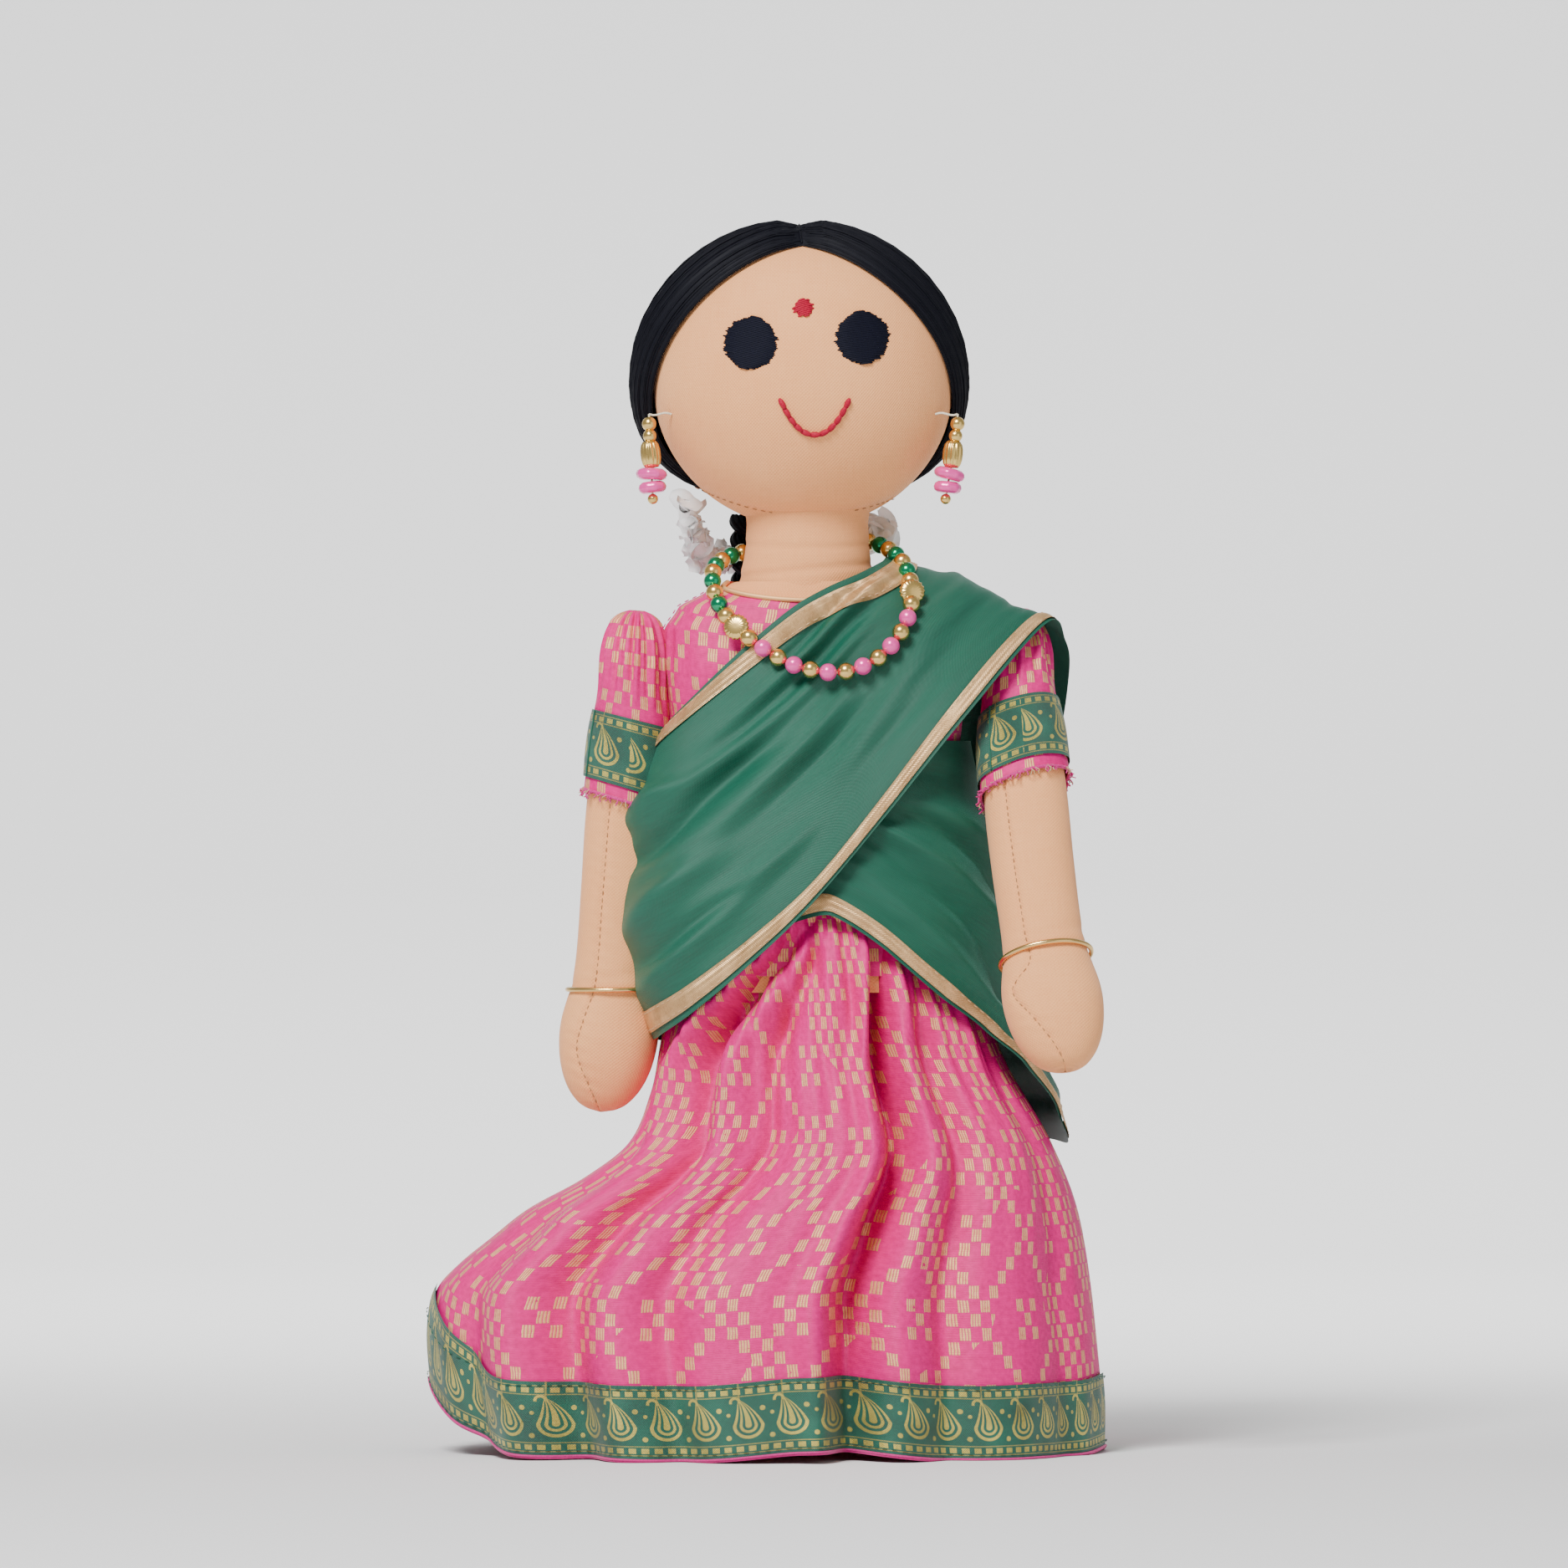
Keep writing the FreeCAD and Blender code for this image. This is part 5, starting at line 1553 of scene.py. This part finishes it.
BEAD_COUNT = 38
FLUTED_PLACE = 7
necklace_spots, pitch = even_spots(lambda t: curve_through(NECKLACE, t, True), BEAD_COUNT)
bead_half = pitch * 0.5 * MM
round_bead = turned_mesh("round_bead", [(max(0.14, math.sin(math.pi * i / 14)) * bead_half,
                                         -math.cos(math.pi * i / 14) * bead_half) for i in range(15)], 20)
disc_profile = [(0.3, -1.0), (1.6, -1.0), (2.6, -0.75), (3.1, -0.2), (3.1, 0.2), (2.6, 0.75), (1.6, 1.0),
                (0.3, 1.0)]
fluted_disc = turned_mesh("fluted_disc", [(r * MM, h * MM) for r, h in disc_profile], 72, 18, 0.045)
strings = {"gold": [], "pink": [], "green": [], "fluted": []}
for number, (spot, direction) in enumerate(necklace_spots):
    index = number if number <= BEAD_COUNT // 2 else number - BEAD_COUNT
    kind = "gold" if index % 2 == 0 else ("pink" if abs(index) < FLUTED_PLACE else "green")
    if abs(index) == FLUTED_PLACE:
        kind = "fluted"
        facing = Vector((0.25 if index > 0 else -0.25, -1, 0.2)).normalized()
        strings[kind].append((fluted_disc, turned_towards(facing, (spot + facing * 0.4) * MM, index)))
    else:
        strings[kind].append((round_bead, turned_towards(direction, spot * MM)))
for kind, material in (("gold", gold_bead), ("pink", pink_bead), ("green", green_bead),
                       ("fluted", gold_bead)):
    beads = put_together(f"necklace_{kind}_bead_string", strings[kind], material)
    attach(beads, "torso")
    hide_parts(f"necklace_{kind}_beads")
loop = [curve_through(NECKLACE, i / 160, True) * MM for i in range(161)]
loop_thread = threads("necklace_loop_thread", [loop], 0.3 * MM, bead_thread)
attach(loop_thread, "torso")
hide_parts("necklace_thread")


# --- Earrings: each a string of two gold beads, a fluted gold barrel, two thin wavy pink
# --- discs and a gold end bead, sewn to the edge of the hair beside the cheek.

EARRING_PARTS = [("ball", 1.75, 0.0), ("ball", 1.65, 2.9), ("barrel", 2.2, 7.4), ("disc", 3.8, 12.2),
                 ("disc", 3.4, 15.4), ("ball", 1.3, 18.2)]
barrel_profile = [(0.5, -3.3), (1.5, -3.2), (2.0, -2.4), (2.25, -1.2), (2.3, 0), (2.25, 1.2), (2.0, 2.4),
                  (1.5, 3.2), (0.5, 3.3)]
barrel = turned_mesh("fluted_barrel", [(r * MM, h * MM) for r, h in barrel_profile], 60, 12, 0.07)
for side in ("right", "left"):
    low, high = (Vector(corner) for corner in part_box(f"earring_{side}_thread"))
    hang = Vector(((low.x + high.x) / 2, (low.y + high.y) / 2, high.z - 2.2 * MM))
    lean = 0.05 if side == "right" else -0.16
    gold_parts, pink_parts, fluted_parts, string = [], [], [], []
    for number, (kind, size, drop) in enumerate(EARRING_PARTS):
        spot = hang + Vector((lean * drop, 0, -drop)) * MM
        tilt = Vector((-lean + (0.10 if number % 2 else -0.06), 0.05, 1)).normalized()
        string.append(spot)
        if kind == "ball":
            bigger = Matrix.Scale(size * MM / bead_half, 4)
            gold_parts.append((round_bead, turned_towards(tilt, spot) @ bigger))
        elif kind == "barrel":
            fluted_parts.append((barrel, turned_towards(tilt, spot)))
        else:
            outline = [(0.4, -1.3), (size * 0.72, -1.35), (size * 0.93, -0.8), (size, 0),
                       (size * 0.93, 0.8), (size * 0.72, 1.35), (0.4, 1.3)]
            disc = turned_mesh("wavy_disc", [(r * MM, h * MM) for r, h in outline], 56, 9, 0.02)
            pink_parts.append((disc, turned_towards(tilt, spot)))
    for node, parts, material, slot in (("gold_beads", gold_parts, gold_bead, "gold_bead"),
                                        ("fluted_bead", fluted_parts, gold_bead, "gold_bead"),
                                        ("pink_discs", pink_parts, pink_bead, "pink_bead")):
        piece = put_together(f"earring_{side}_{node}_turned", parts, material)
        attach(piece, f"earring_{side}")
        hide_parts(f"earring_{side}_{node}")
    string_top = hang + Vector((0, 0, 2.4 * MM))
    strand = threads(f"earring_{side}_strand", [[string_top] + string], 0.25 * MM, bead_thread)
    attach(strand, f"earring_{side}")
    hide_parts(f"earring_{side}_thread")
    inward = 1 if side == "right" else -1
    stitch_line = []
    for i in range(7):
        away = 1 - i / 6
        rise = 2.4 + 0.3 * math.sin(i)
        stitch_line.append(hang + Vector((inward * 5.4 * away, 1.5 * away, rise)) * MM)
    hook = threads(f"earring_{side}_sewn_thread", [stitch_line], 0.28 * MM, bead_thread)
    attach(hook, "head")
    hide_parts(f"earring_{side}_stitch")


# --- Arms: two cotton panels each, stuffed, with a rounded mitten hand. The seam between
# --- the panels runs down the front in small visible stitches and curls round the hand.

ARMS = {
    "right": {"shoulder": (-32.5, 0, 197), "tip": (-40.8, 0, 82.6), "bow": 1.2,
              "seam": [(0, -0.10), (4, -0.30), (14, -0.62), (22, -0.55), (30, -0.45),
                       (50, -0.46), (80, -0.42)]},
    "left": {"shoulder": (60.5, 0, 197), "tip": (71.2, -48.3, 93.6), "bow": -2.2,
             "seam": [(0, 0.02), (4, -0.20), (12, -0.55), (20, -0.80), (26, -0.42),
                      (34, -0.48), (80, -0.52)]},
}
ARM_LONG = 118
ARM_CLOTH_LONG = 116
# Distance from the tip, half width across, half depth.
ARM_SECTIONS = [(0, 0.3, 0.3), (0.7, 3.4, 2.6), (2.4, 6.2, 4.9), (6, 9.0, 7.0), (11, 11.0, 8.6),
                (17, 12.0, 9.4), (22, 11.9, 9.3), (27, 11.0, 8.9), (31, 10.2, 8.5), (38, 9.8, 8.3),
                (55, 10.0, 8.4), (72, 10.1, 8.4), (92, 9.0, 8.2), (104, 7.4, 7.4), (112, 5.6, 6.0),
                (118, 3.4, 4.0)]


def arm_frame(side):
    """The arm's axis from the tip up, and the directions across it and out of its front."""
    shoulder, tip = Vector(ARMS[side]["shoulder"]), Vector(ARMS[side]["tip"])
    axis = (shoulder - tip).normalized()
    across = Vector((1, 0, 0)) - axis * axis.x
    across.normalize()
    front = across.cross(axis)
    if front.y > 0:
        front = -front
    return tip, axis, across, front


def arm_point(side, turn, along, grow=0.0, table=ARM_SECTIONS):
    tip, axis, across, front = arm_frame(side)
    wide, deep = (hermite([(row[0], row[i]) for row in table], along) for i in (1, 2))
    s, c = math.sin(turn), math.cos(turn)
    square = (abs(s) ** 2.2 + abs(c) ** 2.2) ** (-1 / 2.2)
    middle_shift = ARMS[side]["bow"] * math.sin(math.pi * min(1, along / ARM_LONG))
    return (tip + axis * along + across * (middle_shift + (wide + grow) * s * square)
            + front * ((deep + grow) * c * square))


def arm_seam_turn(side, along):
    """Where the front seam lies round the arm."""
    return math.asin(max(-0.95, min(0.95, hermite(ARMS[side]["seam"], along))))


seam_beige = fibre_material("arm_seam_thread", (0.34, 0.18, 0.08), 0.1)
for side in ("right", "left"):
    tip, axis, across, front = arm_frame(side)

    def arm_spot(a, b, side=side):
        along = ARM_CLOTH_LONG * b ** 1.35
        turn = math.tau * a
        from_seam = turn - arm_seam_turn(side, along)
        gap = math.atan2(math.sin(from_seam), math.cos(from_seam))
        groove = 0.55 * math.exp(-(gap / 0.06) ** 2)
        groove += 0.12 * math.exp(-(gap / 0.035) ** 2) * math.sin(along * 3)
        pucker = 0.10 * math.sin(1.9 * along + 6 * turn) * math.exp(-(gap / 0.35) ** 2)
        wrinkle = 0.25 * math.exp(-((along - 33 - 3 * math.sin(turn)) / 1.6) ** 2)
        return arm_point(side, turn, along, pucker - groove - wrinkle) * MM

    arm = grid_piece(f"arm_{side}_cloth", arm_spot, 120, 150,
                     lambda a, b: (62 * a, ARM_CLOTH_LONG * b ** 1.35), skin_cotton, wrap=True,
                     away_from=lambda p, tip=tip, axis=axis: (tip + axis * (p / MM - tip).dot(axis)) * MM)
    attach(arm, f"arm_{side}")
    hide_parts(f"arm_{side}_stuffing", f"arm_{side}_inner_panel", f"arm_{side}_outer_panel")
    seam_places = [1.5 + 0.9 * i for i in range(84)]
    seam = [arm_point(side, arm_seam_turn(side, along), along, -0.42) * MM for along in seam_places]
    sewn = stitches(f"arm_{side}_seam_stitches", [seam], 1.75 * MM, 1.15 * MM, 0.15 * MM, seam_beige)
    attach(sewn, f"arm_{side}")


# --- Sleeves: short brocade sleeves, gathered into the armhole so they puff, each with the
# --- same green border sewn round and a raw pink edge left fraying below it.

SLEEVE_SECTIONS = [(74, 11.0, 9.4), (80, 10.8, 9.4), (90, 10.2, 9.2), (98, 9.3, 9.0), (103, 8.5, 9.6),
                   (109, 8.0, 9.8), (114, 7.4, 9.0), (118, 6.2, 7.4), (121.5, 4.0, 5.0), (123, 0.4, 0.4)]
SLEEVE_TILT = {"right": -0.28, "left": 0.26}
SLEEVE_FOLDS = {"right": 11, "left": 9}


def sleeve_point(side, turn, along, grow=0.0):
    """A point of the sleeve, whose rounds slope a little across the arm."""
    slope = SLEEVE_TILT[side] * 9 * math.sin(turn) * max(0.0, min(1.0, (118 - along) / 30))
    puff = max(0.0, min(1.0, (along - 98) / 12)) * max(0.0, min(1.0, (123 - along) / 3))
    count = SLEEVE_FOLDS[side]
    gather = 0.75 * math.sin(count * turn + 1.1 * math.sin(2 * turn))
    gather += 0.45 * math.sin((2 * count + 3) * turn)
    flare = 0.25 * math.sin(5 * turn + 1) * max(0.0, (92 - along) / 18)
    return arm_point(side, turn, along + slope, grow + gather * puff + flare, SLEEVE_SECTIONS)


SLEEVE_BAND_HIGH = 16.8
FRAY_THREADS = 150
PINK_FRAYS = 110
sleeve_band = border_material("zari_border_narrow", 10.2, SLEEVE_BAND_HIGH)
for side in ("right", "left"):
    tip, axis, across, front = arm_frame(side)

    def inside_arm(p, tip=tip, axis=axis):
        return (tip + axis * (p / MM - tip).dot(axis)) * MM

    def sleeve_spot(a, b, side=side):
        return sleeve_point(side, math.tau * a, 75.6 + 46.9 * b) * MM

    def band_spot(a, b, side=side):
        bulge = 0.25 * math.sin(math.pi * b)
        return sleeve_point(side, math.tau * a, 79.0 + 17.0 * b, 0.55 + bulge) * MM

    sleeve = grid_piece(f"sleeve_{side}_cloth", sleeve_spot, 150, 70, lambda a, b: (68 * a, 52 * b),
                        brocade, wrap=True, away_from=inside_arm)
    pattern_start = 5.2 if side == "right" else 4.2
    band = grid_piece(f"sleeve_{side}_band", band_spot, 150, 14,
                      lambda a, b, start=pattern_start: (67.5 * a + start, SLEEVE_BAND_HIGH * b),
                      sleeve_band, wrap=True, away_from=inside_arm)
    inward = -1 if side == "left" else 1
    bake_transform(sleeve)
    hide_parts(f"sleeve_{side}")
    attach(band, f"arm_{side}")
    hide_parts(f"sleeve_{side}_border")
    seam_at = -1.05 if side == "right" else -0.75
    seam_line = [[sleeve_point(side, seam_at, 79.2 + 16.6 * i / 30, 0.85) * MM for i in range(31)]]
    dark = threads(f"sleeve_{side}_band_join", seam_line, 0.22 * MM, green_thread)
    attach(dark, f"arm_{side}")
    chance = random.Random(21 if side == "right" else 22)
    fray = []
    for k in range(FRAY_THREADS):
        turn = chance.uniform(0, math.tau)
        length, drift = chance.uniform(0.5, 2.6), chance.uniform(-0.10, 0.10)
        fray.append([sleeve_point(side, turn + drift * i / 4, 76.2 - length * i / 4,
                                  0.1 + chance.uniform(0, 0.35) * i) * MM for i in range(5)])
    frayed = threads(f"sleeve_{side}_raw_edge", fray[:PINK_FRAYS], 0.16 * MM, pink_thread, 5)
    gilt = threads(f"sleeve_{side}_loose_gold", fray[PINK_FRAYS:], 0.12 * MM, beige_thread, 5)
    for piece in (frayed, gilt):
        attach(piece, f"arm_{side}")
    edge_ring = [sleeve_point(side, math.tau * i / 90, 75.8, 0.05) * MM for i in range(91)]
    roll = threads(f"sleeve_{side}_edge_roll", [edge_ring], 0.42 * MM, pink_thread, 8)
    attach(roll, f"arm_{side}")


# --- Bangles: one loose ring of thin gold wire on each wrist, slightly out of round.

BANGLE_UP = 30
bangle_metal = shiny_material("bangle_metal", (0.78, 0.52, 0.20), 1.0, 0.22)
for side in ("right", "left"):
    tip, axis, across, front = arm_frame(side)
    bow = ARMS[side]["bow"] * math.sin(math.pi * BANGLE_UP / ARM_LONG)
    ring = []
    for step in range(97):
        turn = math.tau * step / 96
        ring.append((tip + axis * (BANGLE_UP + 0.8 * math.sin(turn)) + across * (bow + 11.1 * math.sin(turn))
                     + front * 9.6 * math.cos(turn)) * MM)
    bangle = threads(f"bangle_{side}_wire", [ring], 0.62 * MM, bangle_metal, 12)
    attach(bangle, f"bangle_{side}")
    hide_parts(f"bangle_{side}")


# --- Legs: two plain stuffed tubes of the skin cotton that hang inside the skirt.

for side in ("right", "left"):
    low, high = (Vector(corner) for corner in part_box(f"leg_{side}_skin"))
    centre, half = (low + high) / 2, (high - low) / 2

    def leg_spot(a, b, centre=centre, half=half):
        level = -math.cos(math.pi * b)
        end = max(0.0, 1 - (abs(level) - 0.9) / 0.1) if abs(level) > 0.9 else 1.0
        shape = math.sqrt(max(0.0004, 1 - (1 - end) ** 2))
        turn = math.tau * a
        reach = (half.x - 0.4 * MM) * shape
        return centre + Vector((reach * math.sin(turn), -reach * math.cos(turn), half.z * level))

    leg = grid_piece(f"leg_{side}_cloth", leg_spot, 48, 60, lambda a, b: (66 * a, 118 * b), skin_cotton,
                     wrap=True, away_from=lambda p, centre=centre: Vector((centre.x, centre.y, p.z)))
    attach(leg, f"leg_{side}")
    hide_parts(f"leg_{side}_stuffing", f"leg_{side}_skin")
